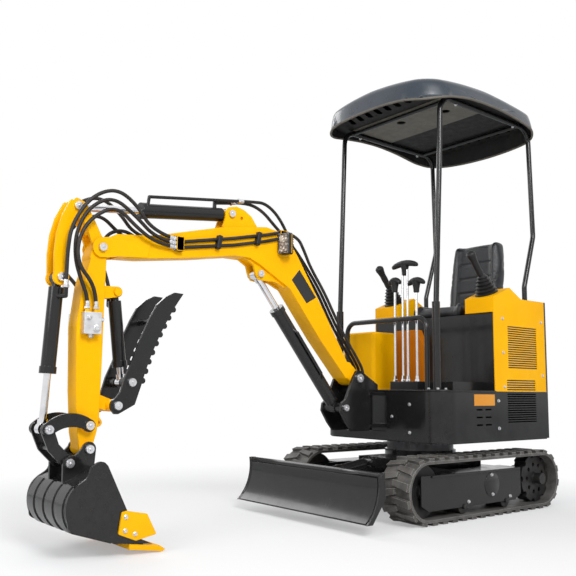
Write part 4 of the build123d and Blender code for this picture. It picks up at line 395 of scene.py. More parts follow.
def gloss_paint(name, colour, shade, rough, dust, coat, grime=0.1, shine=0.5, peel=0.05):
    """Paint that clouds between two tones, with dust low down and specks of grime."""
    material, tree, shader, place = new_material(name)
    rounded = soft_edges(tree, 0.0035)
    tone = steps(tree, cloud(tree, place, 3.0, 5.0), (0.3, shade), (0.7, colour))
    height = tree.nodes.new("ShaderNodeSeparateXYZ")
    tree.links.new(place, height.inputs[0])
    mottled = tree.nodes.new("ShaderNodeMath")
    mottled.operation = "MULTIPLY"
    tree.links.new(between(tree, height.outputs["Z"], 0.1, 0.8, dust, 0.0), mottled.inputs[0])
    tree.links.new(between(tree, cloud(tree, place, 40.0, 5.0), 0.35, 0.75, 0.1, 1.0), mottled.inputs[1])
    dusty = blend_colour(tree, mottled.outputs[0], tone, (0.16, 0.135, 0.11))
    speck = between(tree, cloud(tree, place, 22.0, 8.0, 0.7), 0.62, 0.8, 0.0, grime)
    grimy = blend_colour(tree, speck, dusty, (0.05, 0.04, 0.03))
    tree.links.new(grimy, shader.inputs["Base Color"])
    uneven = between(tree, cloud(tree, place, 9.0, 6.0), 0.3, 0.75, rough * 0.7, rough * 1.8)
    tree.links.new(uneven, shader.inputs["Roughness"])
    shader.inputs["Specular IOR Level"].default_value = shine
    shader.inputs["Coat Weight"].default_value = coat
    shader.inputs["Coat Roughness"].default_value = 0.08
    bump = raise_by(tree, shader, cloud(tree, place, 420.0, 2.0), peel, 0.001)
    tree.links.new(rounded, bump.inputs["Normal"])
    return material


paints = {
    "yellow_paint": gloss_paint("yellow_paint", (0.97, 0.49, 0.0), (0.91, 0.42, 0.0), rough=0.34, dust=0.05,
                                coat=0.03, grime=0.02, shine=0.09),
    # orange_paint is the yellow paint darkened and reddened: painted shade for yellow covers that stand in
    # shade.
    "orange_paint": gloss_paint("orange_paint", (0.60, 0.19, 0.004), (0.48, 0.13, 0.003), rough=0.4, dust=0.08,
                                coat=0.03, shine=0.1),
    "black_paint": gloss_paint("black_paint", (0.0085, 0.0085, 0.0092), (0.012, 0.012, 0.0125), rough=0.17,
                               dust=0.05, coat=0.10, grime=0.03, shine=0.34, peel=0.015),
    "roof_shell": gloss_paint("roof_shell", (0.024, 0.034, 0.048), (0.018, 0.026, 0.038), rough=0.26, dust=0.0,
                              coat=0.3, shine=0.4, peel=0.02),
}


# Hard chrome and ground steel: the cylinders' rods are plated and polished, and the slew ring is ground
# steel coloured very dark.
paints["chrome_rod"] = bright_metal("chrome_rod", (0.82, 0.82, 0.84), 0.09, 0.02)
paints["bare_steel"] = bright_metal("bare_steel", (0.10, 0.10, 0.105), 0.34)
paints["hose_rubber"] = rubber


# Rubber, castings and moulded plastic: dull surfaces with grain, dried mud in patches and light scuffs on
# the tracks' edges.
def edge_wear(tree, rounded):
    """1 on a sharp edge and 0 on a flat."""
    true_face = tree.nodes.new("ShaderNodeNewGeometry")
    turn = tree.nodes.new("ShaderNodeVectorMath")
    turn.operation = "DOT_PRODUCT"
    tree.links.new(rounded, turn.inputs[0])
    tree.links.new(true_face.outputs["Normal"], turn.inputs[1])
    return between(tree, turn.outputs["Value"], 0.97, 0.75, 0.0, 1.0)


def dull_surface(name, colour, worn, rough, grain, scale=240.0, mud=0.0, scuff=0.0, shine=0.3):
    """A grained surface, paler where it is worn and muddy in patches."""
    material, tree, shader, place = new_material(name)
    shader.inputs["Specular IOR Level"].default_value = shine
    rounded = soft_edges(tree, 0.003)
    tone = steps(tree, cloud(tree, place, 11.0, 8.0, 0.65), (0.35, colour), (0.72, worn))
    patches = between(tree, cloud(tree, place, 5.0, 9.0, 0.7), 0.5, 0.75, 0.0, mud)
    muddy = blend_colour(tree, patches, tone, (0.15, 0.12, 0.095))
    scuffed = tree.nodes.new("ShaderNodeMath")
    scuffed.operation = "MULTIPLY"
    tree.links.new(edge_wear(tree, rounded), scuffed.inputs[0])
    scuffed.inputs[1].default_value = scuff
    pale = tuple(min(c * 3.0 + 0.02, 1.0) for c in worn)
    tree.links.new(blend_colour(tree, scuffed.outputs[0], muddy, pale), shader.inputs["Base Color"])
    uneven = between(tree, cloud(tree, place, 30.0, 5.0), 0.3, 0.7, rough * 0.85, min(rough * 1.15, 1.0))
    tree.links.new(uneven, shader.inputs["Roughness"])
    bump = raise_by(tree, shader, cloud(tree, place, scale, 5.0), grain, 0.002)
    tree.links.new(rounded, bump.inputs["Normal"])
    return material


paints["cast_wheel"] = dull_surface("cast_wheel", (0.009, 0.009, 0.010), (0.030, 0.028, 0.026), 0.42, 0.3,
                                    mud=0.2)
paints["engine_iron"] = dull_surface("engine_iron", (0.05, 0.05, 0.052), (0.09, 0.088, 0.085), 0.6, 0.4)
paints["track_rubber"] = dull_surface("track_rubber", (0.058, 0.055, 0.052), (0.150, 0.143, 0.134), 0.55, 0.4,
                                      mud=0.2, scuff=0.9)
paints["control_plastic"] = dull_surface("control_plastic", (0.009, 0.009, 0.010), (0.018, 0.018, 0.018), 0.45,
                                         0.15, 800.0)
paints["seat_vinyl"] = dull_surface("seat_vinyl", (0.007, 0.008, 0.010), (0.013, 0.014, 0.017), 0.36, 0.3,
                                    1100.0, shine=0.35)
paints["liner_panel"] = dull_surface("liner_panel", (0.010, 0.010, 0.010), (0.017, 0.016, 0.015), 0.6, 0.3,
                                     600.0, shine=0.2)
slots = {part["node"]: part["material_slot"] for part in frame["record"]["subparts"]}
for node, solid in nodes.items():
    solid.data.materials.clear()
    solid.data.materials.append(paints[slots[node]])


# Pins: hardened steel, each with a plated head that stands out of its boss, chamfered, with a
# turned recess and a grease nipple in the middle.
pin_ends = {
    "swing": [((0.536, 0.671), 0.075, 0.0224), ((0.630, 0.525), 0.075, 0.0174)],
    "boom": [((1.298, 1.396), 0.034, 0.0174), ((1.131, 1.140), 0.034, 0.0174), ((1.920, 1.161), 0.050, 0.0174)],
    "arm": [((2.022, 1.313), 0.040, 0.0174), ((2.077, 1.028), 0.040, 0.0174), ((1.950, 0.470), 0.0683, 0.0174)],
    "rocker": [((2.107, 0.459), 0.068, 0.0174)],
    "bucket": [((1.948, 0.383), 0.070, 0.0174), ((2.023, 0.335), 0.070, 0.0174)],
    "thumb": [((1.850, 0.544), 0.092, 0.0174), ((1.794, 0.634), 0.092, 0.0174)],
}
for body, pins in pin_ends.items():
    heads = []
    for (x, z), inner, radius in pins:
        cap = turned("cap", [(0.0004, radius), (0.0106, radius), (0.0126, radius - 0.002), (0.0127, 0.0072),
                             (0.0122, 0.0066), (0.0122, 0.0042), (0.0162, 0.0036), (0.0174, 0.0022)], 40)
        for hand in (1, -1):
            head = bpy.data.objects.new("head", cap.data.copy())
            head.data.transform(facing((x + slew_x, hand * inner, z), (0, hand, 0)))
            scene.collection.objects.link(head)
            heads.append(head)
        put_away(cap)
    dress(together(body + "_pin_heads", heads), zinc, body)


# Hexagon bolts: plated, with a flanged washer. They hold the body's panels, the canopy, the front
# skirt, the bucket's cutters and the track frames, and each one stands on the face that it holds.
def face_at(node, start, aim):
    """Where a straight line from start first meets a CAD node."""
    met, place, normal, number = nodes[node].ray_cast(Vector(start), Vector(aim))
    return place if met else None


washer = turned("washer", [(-0.0004, 0.0088), (0.0012, 0.0088), (0.0018, 0.0080)], 24)
hexagon = turned("hexagon", [(0.0015, 0.0072), (0.0062, 0.0072), (0.0072, 0.0062), (0.0073, 0.0036),
                             (0.0066, 0.0030)], 6)
bolt = together("bolt", [washer, hexagon])
front_rows = (
    ("side_panel_", -0.170, 0.994), ("side_panel_", -0.172, 0.815), ("side_panel_", -0.176, 0.636),
    ("lower_panel_", -0.120, 0.564), ("lower_panel_", -0.121, 0.424),
)
rear_row = (("side_panel_", -0.530, 0.994), ("side_panel_", -0.530, 0.700))
panel_bolts = []
for side, hand, row in (("left", 1, front_rows + rear_row), ("right", -1, front_rows)):
    for panel, x, z in row:
        place = face_at(panel + side, (x + slew_x, hand * 0.6, z), (0, -hand, 0))
        if place:
            panel_bolts.append(facing(place, (0, hand, 0)))
set_out(bolt, "panel_bolts", panel_bolts, "upper", zinc)
hoop_under, deck_top, cutter_face, frame_face, cover_face = 2.1212, 0.6202, 0.1983, 0.4332, 0.4346
hoop_bolts = [facing((x + slew_x, y, hoop_under), (0, 0, -1))
              for x in (0.096, -0.420) for y in (0.358, -0.358)]
set_out(bolt, "hoop_bolts", hoop_bolts, "upper", zinc)
foot_bolts = [facing((x + slew_x, y, deck_top), (0, 0, 1))
              for x in (0.241, 0.299) for y in (0.378, 0.320, -0.378, -0.320)]
set_out(bolt, "post_foot_bolts", foot_bolts, "upper", zinc)
front_bolts = []
for y, z in ((0.222, 0.543), (0.222, 0.405), (0.102, 0.480), (-0.222, 0.543), (-0.222, 0.405)):
    place = face_at("front_skirt", (1.0 + slew_x, y, z), (-1, 0, 0))
    if place:
        front_bolts.append(facing(place, (1, 0, 0)))
set_out(bolt, "front_bolts", front_bolts, "upper", zinc)
cutter_bolts = [facing((x + slew_x, hand * cutter_face, z), (0, hand, 0)) for hand in (1, -1)
                for x, z in ((1.852, 0.143), (1.813, 0.079), (1.854, 0.094))]
set_out(bolt, "cutter_bolts", cutter_bolts, "bucket", zinc)
frame_bolts = [facing((x + slew_x, hand * face, z), (0, hand, 0)) for hand in (1, -1)
               for x, face, z in ((0.150, frame_face, 0.082), (-0.190, frame_face, 0.082),
                                  (-0.036, cover_face, 0.198), (-0.042, cover_face, 0.102))]
set_out(bolt, "frame_bolts", frame_bolts, "undercarriage", zinc)
put_away(bolt)


# Headliner: an olive grey moulded sheet under the roof's dark liner, screwed up between the two
# hoops, with two round holes cut through it.
olive_sheet = dull_surface("headliner_plastic", (0.085, 0.082, 0.066), (0.13, 0.125, 0.10), 0.5, 0.2, 700.0)
bpy.ops.object.select_all(action="DESELECT")
headliner_z = 2.147
bpy.ops.mesh.primitive_cube_add(size=1, location=(0.012 + slew_x, 0, headliner_z),
                                scale=(0.336, 0.672, 0.0045))
headliner = bpy.context.object
headliner.name = "headliner"
bpy.ops.object.transform_apply(location=True, rotation=True, scale=True)
for x, y in ((0.009, 0.219), (0.060, -0.060)):
    bpy.ops.mesh.primitive_cylinder_add(vertices=40, radius=0.026, depth=0.03,
                                        location=(x + slew_x, y, headliner_z))
    drill = bpy.context.object
    bpy.context.view_layer.objects.active = headliner
    cut = headliner.modifiers.new("hole", "BOOLEAN")
    cut.operation = "DIFFERENCE"
    cut.object = drill
    cut.solver = "EXACT"
    bpy.ops.object.modifier_apply(modifier=cut.name)
    put_away(drill)
edge = headliner.modifiers.new("edge", "BEVEL")
edge.width = 0.0012
edge.segments = 2
edge.limit_method = "ANGLE"
bpy.ops.object.select_all(action="DESELECT")
headliner.select_set(True)
bpy.context.view_layer.objects.active = headliner
bpy.ops.object.modifier_apply(modifier=edge.name)
dress(headliner, olive_sheet, "upper")


# Foils: two thin printed sheets in plain colours, a black one stuck to the boom's side and an orange
# one to the body's lower panel.
def foil(name, corners, face_y, body, material):
    """A foil on an upright face, its corners given as (x, z)."""
    bpy.ops.object.select_all(action="DESELECT")
    bpy.ops.mesh.primitive_plane_add(size=1)
    sheet = bpy.context.object
    sheet.name = name
    for vertex, (x, z) in zip(sheet.data.vertices, (corners[0], corners[1], corners[3], corners[2])):
        vertex.co = (x + slew_x, face_y, z)
    bpy.ops.object.mode_set(mode="EDIT")
    bpy.ops.mesh.select_all(action="SELECT")
    bpy.ops.mesh.subdivide(number_cuts=6)
    bpy.ops.mesh.extrude_region_move(TRANSFORM_OT_translate={"value": (0, 0.0006, 0)})
    bpy.ops.mesh.select_all(action="SELECT")
    bpy.ops.mesh.normals_make_consistent(inside=False)
    bpy.ops.object.mode_set(mode="OBJECT")
    dress(sheet, material, body)


foil_black = gloss_paint("foil_black", (0.004, 0.004, 0.005), (0.008, 0.008, 0.009), rough=0.3, dust=0.0,
                         coat=0.1)
foil_orange = gloss_paint("foil_orange", (0.74, 0.30, 0.02), (0.66, 0.25, 0.016), rough=0.4, dust=0.0, coat=0.0)
foil("boom_sign", [(0.954, 1.128), (0.907, 1.181), (0.801, 1.056), (0.861, 1.023)], 0.0471,
     "boom", foil_black)
plate_place = face_at("lower_panel_left", (slew_x, 0.6, 0.57), (0, -1, 0))
plate_place = plate_place or face_at("front_skirt", (slew_x, 0.6, 0.57), (0, -1, 0))
foil("body_sign", [(-0.089, 0.597), (0.082, 0.597), (0.082, 0.540), (-0.089, 0.540)], plate_place.y + 0.0001,
     "upper", foil_orange)


# Work lamp: a square lamp in a finned black housing, turned a little outward on its stay beside the boom's
# bend, with a clear ribbed lens over its reflector; the reflector's glints are painted into the lens as bright
# spots.
def block(place, size, edge, segments, turn=(0, 0, 0)):
    """A plain block with bevelled edges."""
    bpy.ops.object.select_all(action="DESELECT")
    bpy.ops.mesh.primitive_cube_add(size=1, location=place, scale=size, rotation=turn)
    bpy.ops.object.transform_apply(location=True, rotation=True, scale=True)
    bpy.ops.object.mode_set(mode="EDIT")
    bpy.ops.mesh.select_all(action="SELECT")
    bpy.ops.mesh.bevel(offset=edge, segments=segments)
    bpy.ops.object.mode_set(mode="OBJECT")
    return bpy.context.object


lamp_turn = radians(20)
lamp_out = Vector((cos(lamp_turn), sin(lamp_turn), 0))
lamp_side = Vector((-sin(lamp_turn), cos(lamp_turn), 0))
lamp_place = Vector((1.037 + slew_x, 0.083, 1.289))
lamp_frame = Matrix((lamp_side, Vector((0, 0, 1)), lamp_out)).transposed().to_4x4()
lamp_frame.translation = lamp_place
housing = block((0, 0, -0.022), (0.060, 0.100, 0.046), 0.007, 3)
bpy.ops.object.mode_set(mode="EDIT")
bpy.ops.mesh.select_all(action="DESELECT")
bpy.ops.object.mode_set(mode="OBJECT")
for face in housing.data.polygons:
    face.select = face.normal.z > 0.99
bpy.ops.object.mode_set(mode="EDIT")
bpy.ops.mesh.inset(thickness=0.003)
bpy.ops.mesh.extrude_region_move(TRANSFORM_OT_translate={"value": (0, 0, -0.004)})
bpy.ops.object.mode_set(mode="OBJECT")
fins = []
for step in range(7):
    bpy.ops.mesh.primitive_cube_add(size=1, location=(0, -0.036 + step * 0.012, -0.048),
                                    scale=(0.052, 0.003, 0.010))
    bpy.ops.object.transform_apply(location=True, rotation=True, scale=True)
    fins.append(bpy.context.object)
housing = together("lamp_housing", [housing] + fins)
housing.data.transform(lamp_frame)
dress(housing, paints["control_plastic"], "boom")
lens_glass, tree, shader, place = new_material("lamp_lens")
ribs_and_glints = tree.nodes.new("ShaderNodeTexVoronoi")
ribs_and_glints.inputs["Scale"].default_value = 85.0
tree.links.new(place, ribs_and_glints.inputs["Vector"])
# The lens's colour is painted glints: bright at the middle of each rib cell, dark between them.
spots = steps(tree, ribs_and_glints.outputs["Distance"], (0.1, (0.85, 0.82, 0.76)), (0.35, (0.42, 0.36, 0.30)),
              (0.7, (0.14, 0.11, 0.09)))
tree.links.new(spots, shader.inputs["Base Color"])
shader.inputs["Roughness"].default_value = 0.12
shader.inputs["Coat Weight"].default_value = 0.8
shader.inputs["Coat Roughness"].default_value = 0.03
raise_by(tree, shader, ribs_and_glints.outputs["Distance"], 0.6, 0.003)
lens_cover = block((0, 0, -0.0014), (0.0535, 0.0935, 0.004), 0.0012, 2)
lens_cover.name = "lamp_lens"
lens_cover.data.transform(lamp_frame)
dress(lens_cover, lens_glass, "boom")


# Valve blocks: machined aluminium, one on each side of the arm, with ports, hexagon plugs and a
# solenoid's cap.
aluminium = bright_metal("machined_aluminium", (0.70, 0.70, 0.71), 0.34, 0.12)
parts = []
for hand in (1, -1):
    parts.append(block((1.957 + slew_x, hand * 0.0585, 0.858), (0.0712, 0.037, 0.0852), 0.002, 2))
    for place, aim, scale in (
        ((1.942, 0.0768, 0.838), (0, hand, 0), 1.4), ((1.974, 0.0768, 0.878), (0, hand, 0), 1.0),
        ((1.9215, 0.058, 0.874), (-1, 0, 0), 1.1), ((1.957, 0.058, 0.8156), (0, 0, -1), 1.2),
    ):
        rings = ((0, 0.0105), (0.004, 0.0105), (0.005, 0.0095), (0.0051, 0.0085), (0.013, 0.0085),
                 (0.0145, 0.007), (0.0146, 0.0036), (0.0118, 0.0034))
        plug = turned("plug", [(height, radius * scale) for height, radius in rings], 6)
        plug.data.transform(facing((place[0] + slew_x, hand * place[1], place[2]), aim))
        parts.append(plug)
dress(together("valve_blocks", parts), aluminium, "arm")


# Seat: black vinyl over moulded foam, a cushion and a reclined back with raised side bolsters,
# sewn channels across the middle, both blown out by cloth simulation and held flat where they sit.
def stuffed(name, node, low, high, bolster, recline, cap, seams):
    """A pad: low and high are its resting box, bolster is how far its sides stand up, cap how far the
    cloth may move, and each seam a place with True where it runs across."""
    middle = [(a + b) / 2 for a, b in zip(low, high)]
    span = [b - a for a, b in zip(low, high)]
    pad = block(middle, span, 0.024, 3)
    pad.name = name
    pad.data.remesh_voxel_size = 0.006
    bpy.ops.object.voxel_remesh()
    upright = recline != 0
    along = 2 if upright else 0
    for vertex in pad.data.vertices:
        side = min(abs(vertex.co.y) / (span[1] / 2), 1.0)
        outer = max(0.0, min(1.0, (side - 0.55) / 0.3))
        shown = (vertex.co.x - low[0]) / span[0] if upright else (vertex.co.z - low[2]) / span[2]
        rise = bolster * outer * outer * (3 - 2 * outer) * max(shown, 0.0)
        if upright:
            vertex.co.x += rise
            height = (vertex.co.z - low[2]) / span[2]
            vertex.co.x -= recline * height
            vertex.co.y *= 1.0 - 0.16 * max(0.0, (height - 0.55) / 0.45) ** 2
        else:
            vertex.co.z += rise
    rest = [vertex.co.copy() for vertex in pad.data.vertices]
    cloth = pad.modifiers.new("foam", "CLOTH")
    cloth.settings.use_pressure = True
    cloth.settings.uniform_pressure_force = 4.0
    cloth.settings.effector_weights.gravity = 0.0
    cloth.settings.quality = 4
    cloth.point_cache.frame_start = 1
    cloth.point_cache.frame_end = 20
    for number in range(1, 21):
        scene.frame_set(number)
    blown = pad.evaluated_get(bpy.context.evaluated_depsgraph_get()).to_mesh()
    for vertex, still, puffed in zip(pad.data.vertices, rest, blown.vertices):
        move = puffed.co - still
        vertex.co = still + (move * (cap / move.length) if move.length > cap else move)
    pad.modifiers.remove(cloth)
    scene.frame_set(1)
    for vertex in pad.data.vertices:
        co = vertex.co
        if upright:
            height = (co.z - low[2]) / span[2]
            front = co.x > middle[0] - recline * height
        else:
            front = co.z > middle[2]
            co.z = max(co.z, low[2])
        if front:
            dip = 0.0
            for position, across in seams:
                gap = abs(co[along] - position) if across else abs(abs(co.y) - position)
                if across and abs(co.y) > 0.118:
                    continue
                dip = max(dip, 0.007 * max(0.0, 1 - gap / 0.010) ** 2)
            if upright:
                co.x -= dip
            else:
                co.z -= dip
    smooth = pad.modifiers.new("smooth", "SUBSURF")
    smooth.levels = smooth.render_levels = 1
    bpy.ops.object.modifier_apply(modifier=smooth.name)
    for face in pad.data.polygons:
        face.use_smooth = True
    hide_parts(node)
    dress(pad, paints["seat_vinyl"], "upper")


cushion_low, cushion_high = (-0.508 + slew_x, -0.184, 1.0206), (-0.140 + slew_x, 0.184, 1.074)
cushion_seams = ((0.122, False), (-0.400 + slew_x, True), (-0.310 + slew_x, True), (-0.220 + slew_x, True))
stuffed("seat_cushion_pad", "seat_cushion", cushion_low, cushion_high, 0.020, 0.0, 0.012, cushion_seams)
back_low, back_high = (-0.552 + slew_x, -0.184, 1.034), (-0.488 + slew_x, 0.184, 1.506)
back_seams = ((0.122, False), (1.20, True), (1.29, True), (1.38, True))
stuffed("seat_back_pad", "seat_back", back_low, back_high, 0.026, 0.060, 0.012, back_seams)


# Joysticks: a rubber gaiter on the console, a plated shaft and a moulded grip with a thumb button,
# one on each side of the seat.
parts = []
shafts = []
for hand in (1, -1):
    foot = Vector((-0.168 + slew_x, hand * 0.335, 1.1335))
    gaiter_aim = Vector((0.411, 0, 1)).normalized()
    gaiter = turned("gaiter", [(0.0, 0.060), (0.006, 0.062), (0.012, 0.050), (0.024, 0.057), (0.031, 0.044),
                               (0.042, 0.051), (0.049, 0.038), (0.060, 0.045), (0.067, 0.032), (0.078, 0.038),
                               (0.085, 0.026), (0.095, 0.030), (0.102, 0.020), (0.108, 0.017)], 32)
    gaiter.data.transform(facing(foot, gaiter_aim))
    stick_aim = Vector((0.8, 0, 1)).normalized()
    stick_foot = foot + gaiter_aim * 0.084
    shaft = turned("shaft", [(0.0, 0.0075), (0.050, 0.0075)], 20)
    shaft.data.transform(facing(stick_foot, stick_aim))
    shafts.append(shaft)
    grip = turned("grip", [(0.020, 0.011), (0.024, 0.0165), (0.040, 0.0185), (0.062, 0.0175), (0.086, 0.0190),
                           (0.110, 0.0180), (0.130, 0.0205), (0.148, 0.0250), (0.160, 0.0245), (0.168, 0.0180),
                           (0.169, 0.0110), (0.173, 0.0100), (0.175, 0.0060)])
    grip.data.transform(facing(stick_foot, stick_aim))
    parts += [gaiter, grip]
sticks = together("joystick_grips", parts)
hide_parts("joysticks")
dress(sticks, paints["control_plastic"], "upper")
dress(together("joystick_shafts", shafts), zinc, "upper")


# Travel levers: chromed rods that stand in a bracket before the floor mat, each held by a hexagon
# collar, under moulded black T-handles whose ends droop. The widest handle joins two rods.
lever_x, rod_foot, collar_foot = 0.196 + slew_x, 0.650, 0.6595
parts = []
rods = []
for y, top in ((0.006, 1.200), (0.062, 1.255), (0.096, 1.255), (0.158, 1.155)):
    height = top - rod_foot
    lever = turned("rod", [(0, 0.0066), (height, 0.0066), (height + 0.002, 0.005)], 20)
    lever.data.transform(Matrix.Translation((lever_x, y, rod_foot)))
    collar = turned("collar", [(0, 0.0125), (0.010, 0.0125), (0.012, 0.011), (0.0125, 0.0090), (0.030, 0.0085),
                               (0.031, 0.0070)], 6)
    collar.data.transform(Matrix.Translation((lever_x, y, collar_foot)))
    rods += [lever, collar]
for y, z, half in ((0.079, 1.290, 0.086), (0.158, 1.190, 0.054), (0.006, 1.205, 0.040)):
    left_half = [(-half, 0.006), (-half + 0.003, 0.0130), (-half * 0.8, 0.0170), (-half * 0.5, 0.0190),
                 (-half * 0.2, 0.0200)]
    handle = turned("handle", left_half + [(-along, radius) for along, radius in left_half[::-1]], 24)
    handle.data.transform(facing((0, 0, 0), (0, 1, 0)))
    for vertex in handle.data.vertices:
        vertex.co.z = vertex.co.z * 0.85 - 0.016 * (vertex.co.y / half) ** 2
    handle.data.transform(Matrix.Translation((lever_x, y, z)))
    stem = turned("stem", [(-0.066, 0.0100), (-0.063, 0.0150), (-0.046, 0.0160), (-0.022, 0.0205),
                           (0.002, 0.0260)], 24)
    stem.data.transform(Matrix.Translation((lever_x, y, z)))
    parts += [handle, stem]
foot_bracket = block((lever_x, 0.085, 0.636), (0.054, 0.190, 0.048), 0.004, 2)
handles = together("lever_handles", parts + [foot_bracket])
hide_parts("travel_levers")
dress(handles, paints["control_plastic"], "upper")
dress(together("lever_rods", rods), paints["chrome_rod"], "upper")


# Lines along the boom's sides: two rubber-covered pipes on each side, from the junction by the lamp to
# the front clamps, held to the boom's plate by black moulded clamps.
line_y, clamp_middle_y = 0.0535, 0.0592
lines = []
for hand in (1, -1):
    for route in (
        [(1.5622, 1.229), (1.294, 1.281), (1.120, 1.320), (1.0425, 1.340)],
        [(1.5622, 1.205), (1.294, 1.250), (1.120, 1.290), (1.0425, 1.312)],
    ):
        holder = drawn_line("boom_line", [(x + slew_x, hand * line_y, z) for x, z in route])
        lines.append(thicken(holder, "boom_line", 0.0077, 4))
dress(together("boom_side_lines", lines), rubber, "boom")
clamps = []
for hand in (1, -1):
    for x, z, length, height, lean in (
        (1.5795, 1.217, 0.0362, 0.0632, 0.0), (1.021, 1.324, 0.0432, 0.0572, 0.0),
        (1.165, 1.2955, 0.020, 0.062, 13.0), (1.380, 1.2505, 0.020, 0.062, 10.0),
    ):
        clamps.append(block((x + slew_x, hand * clamp_middle_y, z), (length, 0.0256, height), 0.003, 2,
                            (0, radians(-lean), 0)))
dress(together("boom_clamps", clamps), paints["control_plastic"], "boom")


# Canopy roof: one vacuum-formed sheet, crowned both ways, with its corners drawn in and hanging
# lower, a rubber lip along its lower edge, and a dark slotted lining inside.
def finer_copy(name, node, longest):
    """A merged copy of a CAD node with its long edges divided, ready to be shaped."""
    bpy.ops.object.select_all(action="DESELECT")
    copy = bpy.data.objects.new(name, nodes[node].data.copy())
    scene.collection.objects.link(copy)
    copy.select_set(True)
    bpy.context.view_layer.objects.active = copy
    bpy.ops.object.mode_set(mode="EDIT")
    bpy.ops.mesh.select_all(action="SELECT")
    bpy.ops.mesh.remove_doubles(threshold=0.00005)
    bpy.ops.object.mode_set(mode="OBJECT")
    for round_number in range(5):
        chosen = 0
        for edge in copy.data.edges:
            a, b = (copy.data.vertices[number].co for number in edge.vertices)
            edge.select = (a - b).length > longest
            chosen += edge.select
        if not chosen:
            break
        bpy.ops.object.mode_set(mode="EDIT")
        bpy.ops.mesh.select_mode(type="EDGE")
        bpy.ops.object.mode_set(mode="OBJECT")
        for edge in copy.data.edges:
            a, b = (copy.data.vertices[number].co for number in edge.vertices)
            edge.select = (a - b).length > longest
        for face in copy.data.polygons:
            face.select = False
        bpy.ops.object.mode_set(mode="EDIT")
        bpy.ops.mesh.subdivide(number_cuts=1)
        bpy.ops.mesh.select_all(action="SELECT")
        bpy.ops.mesh.quads_convert_to_tris()
        bpy.ops.object.mode_set(mode="OBJECT")
    return copy


roof_middle, roof_half_length, roof_half_width = -0.100 + slew_x, 0.525, 0.458
wall_top, crown_rise = 2.150, 0.085


def rounded_plan(vertices, lowered, inset=0.0):
    """Draws the corners in, the front ones most, and hangs the crown's corners lower."""
    for vertex in vertices:
        along = (vertex.co.x - roof_middle) / roof_half_length
        across = vertex.co.y / roof_half_width
        pull = 0.15 if along > 0 else 0.05
        lift = max(0.0, min(1.0, (vertex.co.z - wall_top) / crown_rise))
        vertex.co.z -= lowered * lift * abs(along * across) ** 1.4
        vertex.co.x = roof_middle + roof_half_length * along * (1 - pull * across ** 4) * (1 - inset)
        vertex.co.y = roof_half_width * across * (1 - pull * along ** 4) * (1 - inset)


def smooth_over(model):
    """Shades a piece smooth, but for its sharp edges."""
    bpy.ops.object.select_all(action="DESELECT")
    model.select_set(True)
    bpy.context.view_layer.objects.active = model
    bpy.ops.object.shade_smooth_by_angle(angle=radians(32))


rim_top, inner_top = 2.145, 2.21
lip_rubber = dull_surface("lip_rubber", (0.11, 0.10, 0.085), (0.15, 0.135, 0.115), 0.6, 0.2, 500.0)
shell = finer_copy("roof_crown", "canopy_roof", 0.06)
rounded_plan(shell.data.vertices, 0.045)
smooth_over(shell)
shell.data.materials.clear()
for material in (paints["roof_shell"], paints["liner_panel"], lip_rubber):
    shell.data.materials.append(material)
for face in shell.data.polygons:
    inward = face.normal.x * (face.center.x - roof_middle) + face.normal.y * face.center.y
    if face.normal.z < -0.6 and face.center.z < rim_top:
        face.material_index = 2
    elif face.normal.z < -0.3 or (inward < -0.03 and face.center.z < inner_top):
        face.material_index = 1
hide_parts("canopy_roof")
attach(shell, "upper")
rim_faces = [face for face in shell.data.polygons if face.material_index == 2]
sectors = 120
lip_line = []
for sector in range(sectors):
    middle = (sector + 0.5) * 2 * pi / sectors - pi
    near = [face for face in rim_faces
            if abs(atan2(face.center.y, face.center.x - roof_middle) - middle) < radians(2)]
    if near:
        weight = sum(face.area for face in near)
        lip_line.append(sum((face.center * face.area for face in near), Vector()) / weight)
holder = drawn_line("roof_lip", lip_line, "NURBS")
line = holder.data.splines[0]
line.order_u = 4
line.use_cyclic_u = True
dress(thicken(holder, "roof_lip.001", 0.0065), lip_rubber, "upper")
lining = finer_copy("roof_lining", "canopy_liner", 0.06)
rounded_plan(lining.data.vertices, 0.0, 0.014)
smooth_over(lining)
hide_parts("canopy_liner")
dress(lining, paints["liner_panel"], "upper")


# Dozer blade: a rolled steel sheet welded to its arms and between two end plates, with a smooth
# face that shows nothing of the lugs behind it.
def circle_through(a, b, c):
    """The centre and radius of the circle through three places."""
    d = 2 * (a[0] * (b[1] - c[1]) + b[0] * (c[1] - a[1]) + c[0] * (a[1] - b[1]))
    turns = ((a, b, c), (b, c, a), (c, a, b))
    x = sum((p[0] ** 2 + p[1] ** 2) * (q[1] - r[1]) for p, q, r in turns) / d
    z = sum((p[0] ** 2 + p[1] ** 2) * (r[0] - q[0]) for p, q, r in turns) / d
    return x, z, hypot(a[0] - x, a[1] - z)


blade_top, blade_middle, blade_foot = (0.802, 0.253), (0.806, 0.150), (0.877, 0.048)
roll_x, roll_z, roll_radius = circle_through(blade_top, blade_middle, blade_foot)
face_sheet = finer_copy("blade_sheet", "blade", 0.4)
for vertex in face_sheet.data.vertices:
    x, z = vertex.co.x - slew_x, vertex.co.z
    from_centre = hypot(x - roll_x, z - roll_z)
    if abs(vertex.co.y) < 0.46 and x > 0.79 and z < 0.236 and from_centre < roll_radius - 0.0006:
        back = (roll_radius + 0.0015) / from_centre
        vertex.co.x = roll_x + (x - roll_x) * back + slew_x
        vertex.co.z = roll_z + (z - roll_z) * back
smooth_over(face_sheet)
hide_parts("blade")
dress(face_sheet, paints["black_paint"], "blade")


